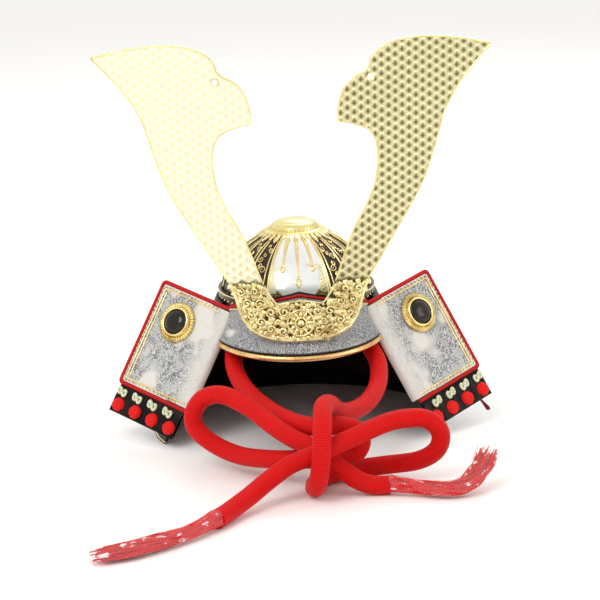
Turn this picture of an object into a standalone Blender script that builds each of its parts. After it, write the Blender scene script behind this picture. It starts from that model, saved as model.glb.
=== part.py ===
# Kabuto: a small festival samurai helmet with its red tying cord.
# Units are metres, +Z is up, the wearer looks along -Y, and the hem of the neck guard lies on Z = 0.
# Left and right are as seen from the front, so left is -X.
import math

import bmesh
import bpy
from mathutils import Euler, Matrix, Vector

MM = 0.001
GAP = 0.3 * MM  # clearance kept between pieces that touch

# Bowl
BASE_HEIGHT = 95 * MM  # bowl base above the hem
BOWL_WIDTH = 96 * MM
BOWL_LENGTH = 104 * MM
BOWL_HEIGHT = 39 * MM
BOWL_WALL = 1.8 * MM
RIB_COUNT_PER_SIDE = 8
RIB_HEIGHT = 1.3 * MM
RIB_WIDTH = 1.7 * MM
FRONT_SECTOR = 27.0  # degrees from the front to the first rib
# (share of half width, share of height), from the base up to the crown hole
BOWL_PROFILE = [
    (1.000, 0.000), (0.985, 0.100), (0.945, 0.240), (0.865, 0.410),
    (0.745, 0.585), (0.610, 0.720), (0.475, 0.820), (0.410, 0.862), (0.300, 0.920), (0.200, 0.955),
]
BOWL_INNER_ROWS = (0, 3, 5, 7, 9)

# Crown fitting
CROWN_RADIUS = 19 * MM
CROWN_HEIGHT = 8.4 * MM
CROWN_RIM = 0.9 * MM
# (share of crown radius, share of crown height)
CROWN_PROFILE = [
    (0.960, 0.24), (0.800, 0.30), (0.775, 0.44), (0.700, 0.66), (0.500, 0.87), (0.260, 0.97),
]
CROWN_STEM_LENGTH = 3.5 * MM
CROWN_STEPS = 20

# Front plate and its three spikes
FRONT_PLATE_THICKNESS = 0.9 * MM
FRONT_PLATE_INSET = 2.2  # degrees between the plate's sides and the first ribs
FRONT_PLATE_ROWS = 9
SPIKE_THICKNESS = 1.0 * MM
SPIKE_WIDTH = 3.8 * MM
CENTRE_SPIKE_DROP = 26.5 * MM
SIDE_SPIKE_DROP = 18 * MM
SIDE_SPIKE_ANGLE = 13.5
# (share of the width, share of the drop) down a spike
SPIKE_TAPER = [(0.42, 0.00), (0.28, 0.68), (1.00, 0.84), (0.80, 0.92), (0.16, 1.00)]
SPIKE_STEPS = 10

# Waist band
BAND_HEIGHT = 10 * MM
BAND_WALL = 1.8 * MM
BAND_BEAD = 0.7 * MM
BAND_STEPS = 36

# Visor
VISOR_THICKNESS = 1.8 * MM
VISOR_HALF_ANGLE = 56.0
VISOR_PEAK = 3.5 * MM  # top edge above the bowl base at the front
VISOR_EDGE_FALL = 11 * MM  # how far the top edge sinks towards its ends
VISOR_DROP = 30.5 * MM  # rim below the bowl base
VISOR_END_LIFT = 3 * MM
VISOR_OVERHANG = 14.5 * MM
VISOR_END_REACH = 9.5 * MM
# (share of the fall, share of the overhang)
VISOR_PROFILE = [(0.0, 0.0), (0.30, 0.10), (0.55, 0.28), (0.78, 0.58), (1.0, 1.0)]
VISOR_RIM_RADIUS = 1.9 * MM
VISOR_EDGING_RADIUS = 0.9 * MM
VISOR_STEPS = 16

# Crest base
CREST_HALF_WIDTH = 44 * MM
CREST_HEIGHT = 37.5 * MM
CREST_DROP = 22.7 * MM  # its lowest point below the bowl base
CREST_THICKNESS = 1.6 * MM
CREST_BEND = 160 * MM
# (share of half width, share of height) from the bottom centre, round the arm, to the inner centre
CREST_OUTLINE = [
    (0.00, 0.000), (0.20, 0.004), (0.40, 0.036), (0.57, 0.100), (0.70, 0.190), (0.80, 0.330),
    (0.86, 0.480), (0.905, 0.650), (0.955, 0.850), (1.00, 0.985), (0.760, 1.000), (0.500, 0.985),
    (0.450, 0.860), (0.385, 0.750), (0.310, 0.665), (0.160, 0.695), (0.00, 0.715),
]
CREST_STRIP = 5.5 * MM
CREST_RIM_RADIUS = 1.0 * MM
CREST_RIM_INSET = 0.965  # share of the outline at which the rolled edge runs
FLOWER_RADIUS = 7.2 * MM
FLOWER_HEIGHT = 1.8 * MM
FLOWER_RISE = 0.33  # share of the crest base's height
FLOWER_PETALS = 8
BOSS_RADIUS = 3.3 * MM
BOSS_HEIGHT = 1.3 * MM
# (share of half width, share of height) of the cast leaf bosses on one arm
CREST_BOSSES = [(0.32, 0.34), (0.50, 0.32), (0.63, 0.50), (0.76, 0.70), (0.60, 0.80)]

# Horns
HORN_ROOT_ACROSS = 23 * MM
HORN_REACH = 99 * MM
HORN_HEIGHT = 152 * MM
HORN_TENON = 6 * MM
HORN_THICKNESS = 1.2 * MM
HORN_LEAN = 5.0
HORN_SPLAY = 8.0
HORN_HOLE_RADIUS = 2.3 * MM
HORN_HOLE = (0.235, 0.850)
# (share of reach, share of height); each list is one smooth run between two corners
HORN_OUTER = [
    (0.208, 0.000), (0.342, 0.147), (0.495, 0.314), (0.564, 0.401), (0.614, 0.490), (0.649, 0.567),
    (0.675, 0.631), (0.703, 0.692), (0.750, 0.756), (0.809, 0.814), (0.886, 0.875), (1.000, 0.958),
]
HORN_TOP = [
    (1.000, 0.958), (0.792, 0.987), (0.624, 1.000), (0.485, 0.999), (0.361, 0.983), (0.287, 0.958),
    (0.241, 0.927), (0.228, 0.895),
]
HORN_HOOK = [
    (0.228, 0.895), (0.190, 0.870), (0.115, 0.844), (0.061, 0.800), (0.036, 0.747), (0.026, 0.712),
    (0.028, 0.673),
]
HORN_INNER = [
    (0.028, 0.673), (0.089, 0.667), (0.198, 0.641), (0.250, 0.606), (0.272, 0.562), (0.277, 0.490),
    (0.257, 0.404), (0.204, 0.317), (0.132, 0.231), (0.074, 0.141), (0.000, 0.000),
]
HORN_STEPS = 2

# Neck guard
NECK_PLATE_COUNT = 4
NECK_OVERLAP = 6.3 * MM
NECK_BAND_OVERLAP = 6 * MM
NECK_WALL = 1.6 * MM
NECK_STEP_GAP = 0.5 * MM
NECK_HEM_HALF_WIDTH = 96 * MM
NECK_HEM_DEPTH = 96 * MM
NECK_FRONT_ANGLE = 68.0
NECK_STEPS = 30

# Turned-back panels
PANEL_WIDTH = 57.5 * MM
PANEL_HEIGHT = 67.5 * MM
PANEL_THICKNESS = 2.4 * MM
PANEL_TURN = 33.8
PANEL_TILT = -26.6
PANEL_ROLL = -14.1
PANEL_DROP = 10 * MM  # its inner top corner below the bowl base
FOLD_RADIUS = 3.4 * MM
FOLD_RETURN = 7.5 * MM
PANEL_CLEARANCE = 1.2 * MM  # between the return and the front end of the neck guard
PANEL_ADVANCE = 3.8 * MM  # its front face ahead of that front end
TRIM_RADIUS = 1.7 * MM
TRIM_START = 7 * MM
STRIP_HEIGHT = 17.5 * MM
STRIP_THICKNESS = 2.0 * MM
RED_KNOT_RADIUS = 4.6 * MM
PALE_KNOT_RADIUS = 3.3 * MM
KNOT_RISE = 0.8  # share of its radius that a knot stands out of the strip
KNOT_COUNT = 4
RED_KNOT_EDGE = 5.5 * MM
RED_KNOT_SPACING = 14.5 * MM
RED_KNOT_DROP = 12 * MM
PALE_KNOT_EDGE = 4.5 * MM
PALE_KNOT_SPACING = 13 * MM
PALE_KNOT_DROP = 4 * MM

# Bosses on the panels
BOSS_RING_RADIUS = 13.6 * MM
BOSS_BEZEL_RADIUS = 9.6 * MM
BOSS_RING_HEIGHT = 4 * MM
BOSS_DOME_RADIUS = 7 * MM
BOSS_ACROSS = 35.5 * MM
BOSS_DOWN = 19.5 * MM
BOSS_STEPS = 16

# Tying cord
CORD_RADIUS = 5.75 * MM
CORD_STEPS = 2  # tube points for each span of a route
CORD_RESOLUTION = 2
ANCHOR_WIDTH = 13 * MM
ANCHOR_DEPTH = 14.5 * MM
ANCHOR_CURVE_STEPS = 3
# The cord that leaves the left side turns inside the knot, makes the left loop and ends at the right.
CORD_LEFT_ROUTE = [
    (-36, -20, 82), (-36, -20, 78), (-38, -23.5, 70), (-42, -31, 60), (-42.5, -44, 52), (-38, -63, 45),
    (-30, -84, 40.5), (-19, -107, 38), (-7, -127, 37.2), (6, -138, 37.4), (18, -139, 38.2), (28, -137, 35),
    (32, -137, 27.5), (28, -138, 20), (18, -139, 18), (6, -139.5, 17.8), (-8, -137, 17.5), (-25, -126, 15),
    (-42, -109, 13), (-57, -97, 17), (-68, -91, 26), (-69, -90, 36.5), (-62, -91, 45.5), (-50, -98, 48.5),
    (-36, -111, 44.5), (-22, -128, 37.5), (-9, -141, 31.5), (4, -148.6, 26.6), (15, -153.5, 18.5), (27, -157, 9.5),
    (37, -158.5, 6.2), (47, -159, 6),
]
# The cord that leaves the right side wraps the knot from the top, makes the right loop and ends at the left.
CORD_RIGHT_ROUTE = [
    (36, -20, 82), (36, -20, 78), (38, -23.5, 70), (44, -31, 60), (49, -45, 51), (47.5, -65, 43.5),
    (40, -88, 38.5), (29.5, -107, 38), (20, -122, 42), (13, -135, 50.6), (9, -148.5, 52.6), (7.5, -163, 48),
    (6.5, -173, 38.5), (5.5, -175.5, 26), (3.5, -171, 13.5), (2, -160, 6.6), (4, -147.5, 6), (12, -135.5, 6.3),
    (27, -129, 7), (47, -129, 9), (66, -134, 12.5), (77, -139, 20.5), (79, -141, 32), (70, -142, 41),
    (52, -146, 42), (34, -153, 38), (18, -160, 33.5), (4, -163.5, 28.5), (-12, -165, 23), (-26, -171, 15.5),
    (-38, -182, 9.5), (-48, -195, 6.6), (-57, -210, 6),
]

# Film-wrapped tassels on the cord ends
TASSEL_WIDTH = 15 * MM
TASSEL_DEPTH = 9 * MM
TASSEL_LOCKS = 6
TASSEL_LOCK_SHARE = 0.10
TASSEL_RIGHT_ROUTE = [
    (47, -159, 6), (62, -164.5, 5.2), (78, -170, 4.8), (91, -168, 6.5), (101, -158, 13), (108, -146, 22),
]
TASSEL_LEFT_ROUTE = [
    (-57, -210, 6), (-68, -224, 5.2), (-81, -236, 4.7), (-95, -246, 4.5), (-110, -254, 4.3), (-127, -261, 3.8),
]
# (share of width, share of depth) at each point of a tassel's route
TASSEL_SECTIONS = [(0.66, 1.00), (0.72, 0.98), (0.84, 0.96), (0.94, 0.92), (1.00, 0.88), (0.86, 0.74)]

# Shares of the named sizes, worked out once
BOWL_HALF = Vector((BOWL_WIDTH / 2, BOWL_LENGTH / 2))
BAND_OUTER = BOWL_HALF + Vector((1, 1)) * (GAP + BAND_WALL)
VISOR_TOP_INNER = BAND_OUTER + Vector((1, 1)) * (BAND_BEAD + GAP)
VISOR_RIM_OUTER = VISOR_TOP_INNER + Vector((1, 1)) * VISOR_THICKNESS
NECK_TOP = BASE_HEIGHT - NECK_BAND_OVERLAP
NECK_STEP = NECK_WALL + NECK_STEP_GAP
NECK_TOP_OUTER = BAND_OUTER + Vector((1, 1)) * (GAP + NECK_WALL)
NECK_PLATE_HEIGHT = (NECK_TOP + (NECK_PLATE_COUNT - 1) * NECK_OVERLAP) / NECK_PLATE_COUNT
NECK_SLOPE = (
    Vector((NECK_HEM_HALF_WIDTH, NECK_HEM_DEPTH))
    - NECK_TOP_OUTER
    - Vector((1, 1)) * NECK_STEP * (NECK_PLATE_COUNT - 1)
) / NECK_TOP

COLOURS = {
    "gilt": ((0.83, 0.62, 0.22), 0.25, 1.0),
    "pale_gilt": ((0.90, 0.80, 0.42), 0.3, 1.0),
    "silver": ((0.86, 0.86, 0.86), 0.12, 1.0),
    "lacquer": ((0.02, 0.016, 0.014), 0.25, 0.0),
    "leather": ((0.70, 0.69, 0.64), 0.7, 0.0),
    "red_silk": ((0.70, 0.02, 0.015), 0.75, 0.0),
    "dark_stone": ((0.02, 0.02, 0.01), 0.08, 0.0),
    "film": ((0.80, 0.20, 0.18), 0.2, 0.0),
}

for old in list(bpy.data.objects):
    bpy.data.objects.remove(old, do_unlink=True)
helmet = bpy.data.objects.new("helmet_origin", None)
bpy.context.collection.objects.link(helmet)


def finish_object(name, data, colour):
    """Links an object under the helmet's origin and gives it a material of its own."""
    tone, roughness, metallic = COLOURS[colour]
    material = bpy.data.materials.new(name)
    material.use_nodes = True
    shader = material.node_tree.nodes["Principled BSDF"]
    shader.inputs["Base Color"].default_value = (*tone, 1.0)
    shader.inputs["Roughness"].default_value = roughness
    shader.inputs["Metallic"].default_value = metallic
    data.materials.append(material)
    made = bpy.data.objects.new(name, data)
    bpy.context.collection.objects.link(made)
    made.parent = helmet
    return made


def mesh_object(name, bm, colour, sharp=35.0):
    """Turns a bmesh into a smooth-shaded object with its faces pointing out."""
    bmesh.ops.recalc_face_normals(bm, faces=bm.faces)
    mesh = bpy.data.meshes.new(name)
    bm.to_mesh(mesh)
    bm.free()
    mesh.shade_smooth()
    mesh.set_sharp_from_angle(angle=math.radians(sharp))
    return finish_object(name, mesh, colour)


def skin(bm, sections, ring=False):
    """Joins closed outlines, one after another, into a closed solid."""
    rows = [[bm.verts.new(point) for point in section] for section in sections]
    count = len(rows[0])
    for here, ahead in zip(rows, rows[1:] + rows[:1] if ring else rows[1:]):
        for i in range(count):
            j = (i + 1) % count
            bm.faces.new((here[i], here[j], ahead[j], ahead[i]))
    if not ring:
        bm.faces.new(rows[0])
        bm.faces.new(rows[-1])


def lofted(name, sections, colour, ring=False):
    bm = bmesh.new()
    skin(bm, sections, ring)
    return mesh_object(name, bm, colour)


def lathe(bm, profile, steps, closed=False):
    """Turns a profile of (radius, height) points round Z."""
    verts = [bm.verts.new((radius, 0, height)) for radius, height in profile]
    pairs = list(zip(verts, verts[1:]))
    if closed:
        pairs.append((verts[-1], verts[0]))
    edges = [bm.edges.new(pair) for pair in pairs]
    bmesh.ops.spin(
        bm, geom=verts + edges, axis=(0, 0, 1), cent=(0, 0, 0), angle=math.tau, steps=steps, use_merge=True
    )
    bmesh.ops.remove_doubles(bm, verts=bm.verts, dist=0.01 * MM)


def smooth_run(points, steps):
    """A Catmull-Rom curve through the points, with some steps for each span."""
    points = [Vector(point) for point in points]
    padded = [2 * points[0] - points[1]] + points + [2 * points[-1] - points[-2]]
    run = []
    for a, b, c, d in zip(padded, padded[1:], padded[2:], padded[3:]):
        bend, twist = 2 * a - 5 * b + 4 * c - d, 3 * b - a - 3 * c + d
        for i in range(steps):
            t = i / steps
            run.append(0.5 * (2 * b + (c - a) * t + bend * t**2 + twist * t**3))
    return run + [points[-1]]


def tube(name, points, radius, colour, resolution=2):
    """A round cord or roll along the points, with filled ends."""
    curve = bpy.data.curves.new(name, "CURVE")
    curve.dimensions = "3D"
    curve.bevel_depth = radius
    curve.bevel_resolution = resolution
    curve.use_fill_caps = True
    spline = curve.splines.new("POLY")
    spline.points.add(len(points) - 1)
    for spot, point in zip(spline.points, points):
        spot.co = (*point, 1.0)
    return finish_object(name, curve, colour)


def operand(name, bm):
    """A hidden shape that a Boolean reads."""
    bmesh.ops.recalc_face_normals(bm, faces=bm.faces)
    mesh = bpy.data.meshes.new(name)
    bm.to_mesh(mesh)
    bm.free()
    made = bpy.data.objects.new(name, mesh)
    bpy.context.collection.objects.link(made)
    made.parent = helmet
    made.hide_render = True
    made.display_type = "WIRE"
    return made


def boolean(target, other, operation):
    step = target.modifiers.new(other.name, "BOOLEAN")
    step.operation = operation
    step.object = other


def on_ellipse(half, degrees, height):
    """A point on an oval round the bowl's axis; 0 degrees is the front and 90 the right side."""
    angle = math.radians(degrees)
    return Vector((half[0] * math.sin(angle), -half[1] * math.cos(angle), height))


def between(table, share):
    """Reads the first column of a table at a share of its second column."""
    for (a, low), (b, high) in zip(table, table[1:]):
        if share <= high:
            return a + (b - a) * (share - low) / (high - low)
    return table[-1][0]


def bowl_point(degrees, height, proud=0.0):
    """A point at a height of the bowl's outer face, then moved straight out from it."""
    span = 2 * MM
    below, share, above = (between(BOWL_PROFILE, (height + step) / BOWL_HEIGHT) for step in (-span, 0, span))
    lean = Vector((2 * span, (below - above) * BOWL_HALF.y)).normalized() * proud
    half = BOWL_HALF * share + Vector((1, 1)) * lean.x
    return on_ellipse(half, degrees, BASE_HEIGHT + height + lean.y)


# Bowl: plates with a raised rib along each seam
def bowl_stations():
    """Angles round the bowl, each with the share of the rib's height there."""
    pitch = (180 - FRONT_SECTOR) / RIB_COUNT_PER_SIDE
    ribs = [FRONT_SECTOR + pitch * i for i in range(2 * RIB_COUNT_PER_SIDE + 1)]
    half_rib = math.degrees(RIB_WIDTH / BOWL_WIDTH)
    stations = [(-FRONT_SECTOR / 2, 0), (0, 0), (FRONT_SECTOR / 2, 0)]
    for rib in ribs:
        stations += [(rib + half_rib * side, rise) for side, rise in ((-1.6, 0), (-1, 1), (1, 1), (1.6, 0))]
    return stations


def make_bowl():
    stations = bowl_stations()
    outer, inner = [], []
    for share, rise in BOWL_PROFILE:
        raised = RIB_HEIGHT if share * BOWL_HALF.x > CROWN_RADIUS + 2 * RIB_HEIGHT else 0.0
        height = BASE_HEIGHT + BOWL_HEIGHT * rise
        half = BOWL_HALF * share
        ridge = Vector((1, 1)) * raised
        outer.append([on_ellipse(half + ridge * rib, spot, height) for spot, rib in stations])
        slope = min(1.0, rise**2)
        thinner = half - Vector((1, 1)) * BOWL_WALL * (1 - slope)
        inner.append([on_ellipse(thinner, spot, height - BOWL_WALL * slope) for spot, _ in stations])
    inner = [inner[row] for row in BOWL_INNER_ROWS]
    lofted("bowl", outer + inner[::-1], "lacquer", ring=True)


def crown_rise(radius):
    """Share of the bowl's height where its longer half reaches a radius."""
    flipped = [(rise, -share) for share, rise in BOWL_PROFILE]
    return between(flipped, -radius / BOWL_HALF.y)


def make_crown():
    """A turned two-step cap whose stem goes down through the bowl's crown hole."""
    stem = BOWL_PROFILE[-1][0] * BOWL_HALF.x - 2 * GAP
    edge = BOWL_HEIGHT * crown_rise(CROWN_RADIUS) + GAP
    rows = [(BOWL_HALF.y * share, BOWL_HEIGHT * rise + 2 * GAP) for share, rise in BOWL_PROFILE[::-1]]
    under = [row for row in rows if row[0] < CROWN_RADIUS]
    low = under[0][1] - CROWN_STEM_LENGTH
    profile = [(0, low), (stem, low), (stem, under[0][1])] + under
    profile += [(CROWN_RADIUS, edge), (CROWN_RADIUS + CROWN_RIM / 3, edge + CROWN_RIM)]
    profile += [(CROWN_RADIUS * across, edge + CROWN_HEIGHT * up) for across, up in CROWN_PROFILE]
    profile.append((0, edge + CROWN_HEIGHT))
    bm = bmesh.new()
    lathe(bm, profile, CROWN_STEPS)
    bmesh.ops.translate(bm, verts=bm.verts, vec=(0, 0, BASE_HEIGHT))
    mesh_object("crown_fitting", bm, "pale_gilt")


def visor_edge_height(degrees):
    """Height of the visor's top edge above the bowl base: a low chevron with its peak in front."""
    return VISOR_PEAK - VISOR_EDGE_FALL * abs(degrees) / VISOR_HALF_ANGLE


def front_top(thickness):
    """Height on the bowl where a piece this thick stops short of the crown fitting."""
    return BOWL_HEIGHT * crown_rise(CROWN_RADIUS + CROWN_RIM + thickness) - GAP


def make_front_plate():
    half_angle = FRONT_SECTOR - FRONT_PLATE_INSET
    top = front_top(FRONT_PLATE_THICKNESS)
    back_gap = 2 * GAP
    sections = []
    for i in range(9):
        spot = half_angle * (i / 4 - 1)
        bottom = max(visor_edge_height(spot) + 2 * VISOR_EDGING_RADIUS + 2 * GAP, GAP)
        heights = [bottom + (top - bottom) * k / FRONT_PLATE_ROWS for k in range(FRONT_PLATE_ROWS + 1)]
        front = [bowl_point(spot, height, back_gap + FRONT_PLATE_THICKNESS) for height in heights]
        back = [bowl_point(spot, height, back_gap) for height in heights]
        sections.append(front + back[::-1])
    lofted("front_plate", sections, "silver")


def make_spike(name, degrees, drop):
    """A tapering bar that lies down the front plate and ends in a drop."""
    top = front_top(FRONT_PLATE_THICKNESS + SPIKE_THICKNESS)
    clear = FRONT_PLATE_THICKNESS + 3.5 * GAP
    along = Vector((math.cos(math.radians(degrees)), math.sin(math.radians(degrees)), 0))
    sections = []
    for k in range(SPIKE_STEPS + 1):
        down = k / SPIKE_STEPS
        height = top - drop * down
        back = bowl_point(degrees, height, clear)
        front = bowl_point(degrees, height, clear + SPIKE_THICKNESS)
        half = along * SPIKE_WIDTH / 2 * between(SPIKE_TAPER, down)
        sections.append([back - half, back + half, front + half * 0.5, front - half * 0.5])
    lofted(name, sections, "gilt")


def make_band():
    """An oval hoop with a raised bead along its two edges."""
    sections = []
    for i in range(BAND_STEPS):
        spot = 360 * i / BAND_STEPS
        low, high = BASE_HEIGHT - BAND_HEIGHT, BASE_HEIGHT - GAP
        bead, wall = BAND_BEAD, BAND_WALL
        outline = [
            (0, low), (wall + bead, low), (wall + bead, low + 2 * bead), (wall, low + 3 * bead),
            (wall, high - 3 * bead), (wall + bead, high - 2 * bead), (wall + bead, high), (0, high),
        ]
        inner = BOWL_HALF + Vector((1, 1)) * GAP
        sections.append([on_ellipse(inner + Vector((1, 1)) * out, spot, height) for out, height in outline])
    lofted("waist_band", sections, "lacquer", ring=True)


def visor_rim_point(degrees, out=0.0):
    """Rim of the visor: it reaches furthest in front and lifts towards its ends."""
    share = abs(degrees) / VISOR_HALF_ANGLE
    reach = VISOR_OVERHANG + (VISOR_END_REACH - VISOR_OVERHANG) * share**2
    drop = VISOR_DROP - VISOR_END_LIFT * share**2
    return on_ellipse(VISOR_RIM_OUTER + Vector((1, 1)) * (reach + out), degrees, BASE_HEIGHT - drop)


def visor_face(degrees, out=0.0):
    """Points down the visor's outer face, moved outwards by out."""
    level = BASE_HEIGHT + visor_edge_height(degrees)
    top = on_ellipse(VISOR_RIM_OUTER + Vector((1, 1)) * out, degrees, level)
    rim = visor_rim_point(degrees, out)
    points = []
    for fall, over in VISOR_PROFILE:
        flat = top.lerp(rim, over)
        points.append(Vector((flat.x, flat.y, top.z + (rim.z - top.z) * fall)))
    return points


def make_visor():
    angles = [VISOR_HALF_ANGLE * (2 * i / VISOR_STEPS - 1) for i in range(VISOR_STEPS + 1)]
    sections = []
    for spot in angles:
        sections.append(visor_face(spot) + visor_face(spot, -VISOR_THICKNESS)[::-1])
    lofted("visor", sections, "leather")
    roll = VISOR_RIM_RADIUS
    rim = [visor_rim_point(spot, -VISOR_THICKNESS / 2) - Vector((0, 0, roll + GAP)) for spot in angles]
    tube("visor_rim", rim, roll, "gilt")
    lift = Vector((0, 0, VISOR_EDGING_RADIUS + GAP))
    edging = [visor_face(spot, -VISOR_THICKNESS / 2)[0] + lift for spot in angles]
    tube("visor_edging", edging, VISOR_EDGING_RADIUS, "red_silk")


def visor_front_at(height):
    """How far forward the visor's face is at its centre, at a height above the bowl base."""
    face = visor_face(0.0)
    table = [(point.y, -point.z) for point in face]
    return between(table, -(BASE_HEIGHT + height))


# Crest base: a bent cast plate in front of the visor
def crest_back():
    return visor_front_at(-CREST_DROP) - GAP


def crest_spot(across, up, out=0.0):
    """A point of the crest base's back face, given in shares, moved forwards by out."""
    x = CREST_HALF_WIDTH * across
    y = crest_back() + x * x / (2 * CREST_BEND) - out
    return Vector((x, y, BASE_HEIGHT - CREST_DROP + CREST_HEIGHT * up))


def make_crest_base():
    right = CREST_OUTLINE
    left = [(-across, up) for across, up in CREST_OUTLINE[-2:0:-1]]
    bm = bmesh.new()
    bm.faces.new([bm.verts.new((CREST_HALF_WIDTH * a, 0, CREST_HEIGHT * b)) for a, b in right + left])
    cuts = int(CREST_HALF_WIDTH / CREST_STRIP)
    for i in range(-cuts, cuts + 1):
        whole = bm.verts[:] + bm.edges[:] + bm.faces[:]
        cut = (i * CREST_STRIP, 0, 0)
        bmesh.ops.bisect_plane(bm, geom=whole, dist=1e-6, plane_co=cut, plane_no=(1, 0, 0))
    grown = bmesh.ops.extrude_face_region(bm, geom=bm.faces[:])
    front = [item for item in grown["geom"] if isinstance(item, bmesh.types.BMVert)]
    bmesh.ops.translate(bm, verts=front, vec=(0, -CREST_THICKNESS, 0))
    for vert in bm.verts:
        vert.co.y += crest_back() + vert.co.x**2 / (2 * CREST_BEND)
        vert.co.z += BASE_HEIGHT - CREST_DROP
    plate = mesh_object("crest_base", bm, "gilt")
    boolean(plate, crest_relief(), "UNION")


def crest_relief():
    """The cast relief: a rolled lower edge, a flower in the middle and leaf bosses on the arms."""
    bm = bmesh.new()
    edge = [(-a, b) for a, b in CREST_OUTLINE[9:0:-1]] + CREST_OUTLINE[:10]
    path = [crest_spot(a * CREST_RIM_INSET, 0.03 + b * CREST_RIM_INSET, CREST_THICKNESS) for a, b in edge]
    sections = []
    for i, spot in enumerate(path):
        along = (path[min(i + 1, len(path) - 1)] - path[max(i - 1, 0)]).normalized()
        out = Vector((0, -1, 0))
        side = along.cross(out).normalized()
        ring = [(math.cos(math.tau * k / 6), math.sin(math.tau * k / 6)) for k in range(6)]
        sections.append([spot + (side * c + out * s) * CREST_RIM_RADIUS for c, s in ring])
    skin(bm, sections)
    sunk = CREST_THICKNESS / 2
    flower = crest_spot(0, FLOWER_RISE, sunk)
    add_dome(bm, flower, FLOWER_RADIUS, FLOWER_HEIGHT + sunk, 2 * FLOWER_PETALS, 0.12)
    for side in (-1, 1):
        for across, up in CREST_BOSSES:
            add_dome(bm, crest_spot(side * across, up, sunk), BOSS_RADIUS, BOSS_HEIGHT + sunk, 8, 0.0)
    return operand("crest_relief", bm)


def add_dome(bm, spot, radius, height, steps, petals):
    """A low dome that faces -Y, with a wavy edge where it has petals."""
    rings = []
    for share, rise in ((1.0, 0.0), (0.94, 0.62), (0.62, 0.90)):
        ring = []
        for k in range(steps):
            reach = radius * share * (1 + petals * (1 if k % 2 else -1))
            angle = math.tau * k / steps
            ring.append(spot + Vector((reach * math.cos(angle), -height * rise, reach * math.sin(angle))))
        rings.append([bm.verts.new(point) for point in ring])
    for low, high in zip(rings, rings[1:]):
        for k in range(steps):
            j = (k + 1) % steps
            bm.faces.new((low[k], low[j], high[j], high[k]))
    bm.faces.new(rings[0])
    tip = bm.verts.new(spot + Vector((0, -height, 0)))
    for k in range(steps):
        bm.faces.new((rings[-1][k], rings[-1][(k + 1) % steps], tip))


# Horns: two thin embossed plates with a hooked top
def horn_frame(side):
    """Right-handed frame of a horn's front face, with its origin where the plate leaves the crest base."""
    middle = (HORN_ROOT_ACROSS + CREST_HALF_WIDTH) / 2
    root_z = BASE_HEIGHT - CREST_DROP + CREST_HEIGHT
    slope = math.tan(math.radians(HORN_SPLAY))
    ends = (HORN_ROOT_ACROSS, CREST_HALF_WIDTH)
    behind = crest_back() + max(x * x / (2 * CREST_BEND) - (x - middle) * slope for x in ends) + GAP
    turn = Matrix.Rotation(math.radians(side * HORN_SPLAY), 4, "Z")
    lean = Matrix.Rotation(math.radians(HORN_LEAN), 4, "X")
    return Matrix.Translation((side * middle, behind, root_z)) @ turn @ lean, middle


def horn_outline():
    run = []
    for piece in (HORN_OUTER, HORN_TOP, HORN_HOOK, HORN_INNER):
        run += smooth_run([(a, b, 0) for a, b in piece], HORN_STEPS)[:-1]
    points = [(HORN_ROOT_ACROSS + HORN_REACH * p.x, HORN_HEIGHT * p.y) for p in run]
    first, last = points[0], (HORN_ROOT_ACROSS, 0)
    return points + [last, (last[0], -HORN_TENON), (first[0] - HORN_TENON / 2, -HORN_TENON)]


def make_horn(name, side):
    frame, middle = horn_frame(side)
    bm = bmesh.new()
    bm.faces.new([bm.verts.new((side * (x - middle), 0, z)) for x, z in horn_outline()])
    grown = bmesh.ops.extrude_face_region(bm, geom=bm.faces[:])
    back = [item for item in grown["geom"] if isinstance(item, bmesh.types.BMVert)]
    bmesh.ops.translate(bm, verts=back, vec=(0, HORN_THICKNESS, 0))
    bmesh.ops.transform(bm, matrix=frame, verts=bm.verts)
    horn = mesh_object(name, bm, "pale_gilt")
    cutter = bmesh.new()
    bore, depth = HORN_HOLE_RADIUS, 8 * HORN_THICKNESS
    bmesh.ops.create_cone(cutter, cap_ends=True, segments=10, radius1=bore, radius2=bore, depth=depth)
    spot = (side * (HORN_ROOT_ACROSS + HORN_REACH * HORN_HOLE[0] - middle), 0, HORN_HEIGHT * HORN_HOLE[1])
    place = frame @ Matrix.Translation(spot) @ Matrix.Rotation(math.pi / 2, 4, "X")
    bmesh.ops.transform(cutter, matrix=place, verts=cutter.verts)
    boolean(horn, operand(name + "_hole", cutter), "DIFFERENCE")


# Neck guard: flaring plates, each hung outside the one above
def neck_half(plate, height, inwards=0.0):
    """Half sizes of a neck plate's outer face at a height."""
    grown = NECK_TOP_OUTER + NECK_SLOPE * (NECK_TOP - height)
    return grown + Vector((1, 1)) * (plate * NECK_STEP - inwards)


def make_neck_plate(plate):
    top = NECK_TOP - plate * (NECK_PLATE_HEIGHT - NECK_OVERLAP)
    bottom = max(0.0, top - NECK_PLATE_HEIGHT)
    if plate == NECK_PLATE_COUNT - 1:
        bottom = 0.0
    sections = []
    for i in range(NECK_STEPS + 1):
        spot = NECK_FRONT_ANGLE + (360 - 2 * NECK_FRONT_ANGLE) * i / NECK_STEPS
        sections.append(
            [
                on_ellipse(neck_half(plate, top), spot, top),
                on_ellipse(neck_half(plate, bottom), spot, bottom),
                on_ellipse(neck_half(plate, bottom, NECK_WALL), spot, bottom),
                on_ellipse(neck_half(plate, top, NECK_WALL), spot, top),
            ]
        )
    lofted(f"neck_plate_{plate + 1}", sections, "lacquer")


# Turned-back panels: the front ends of the neck guard, folded outwards and back
def panel_rotation(side):
    turn, tilt, roll = (math.radians(angle) for angle in (PANEL_TURN, PANEL_TILT, PANEL_ROLL))
    return Euler((tilt, side * roll, side * turn), "YXZ")


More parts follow.
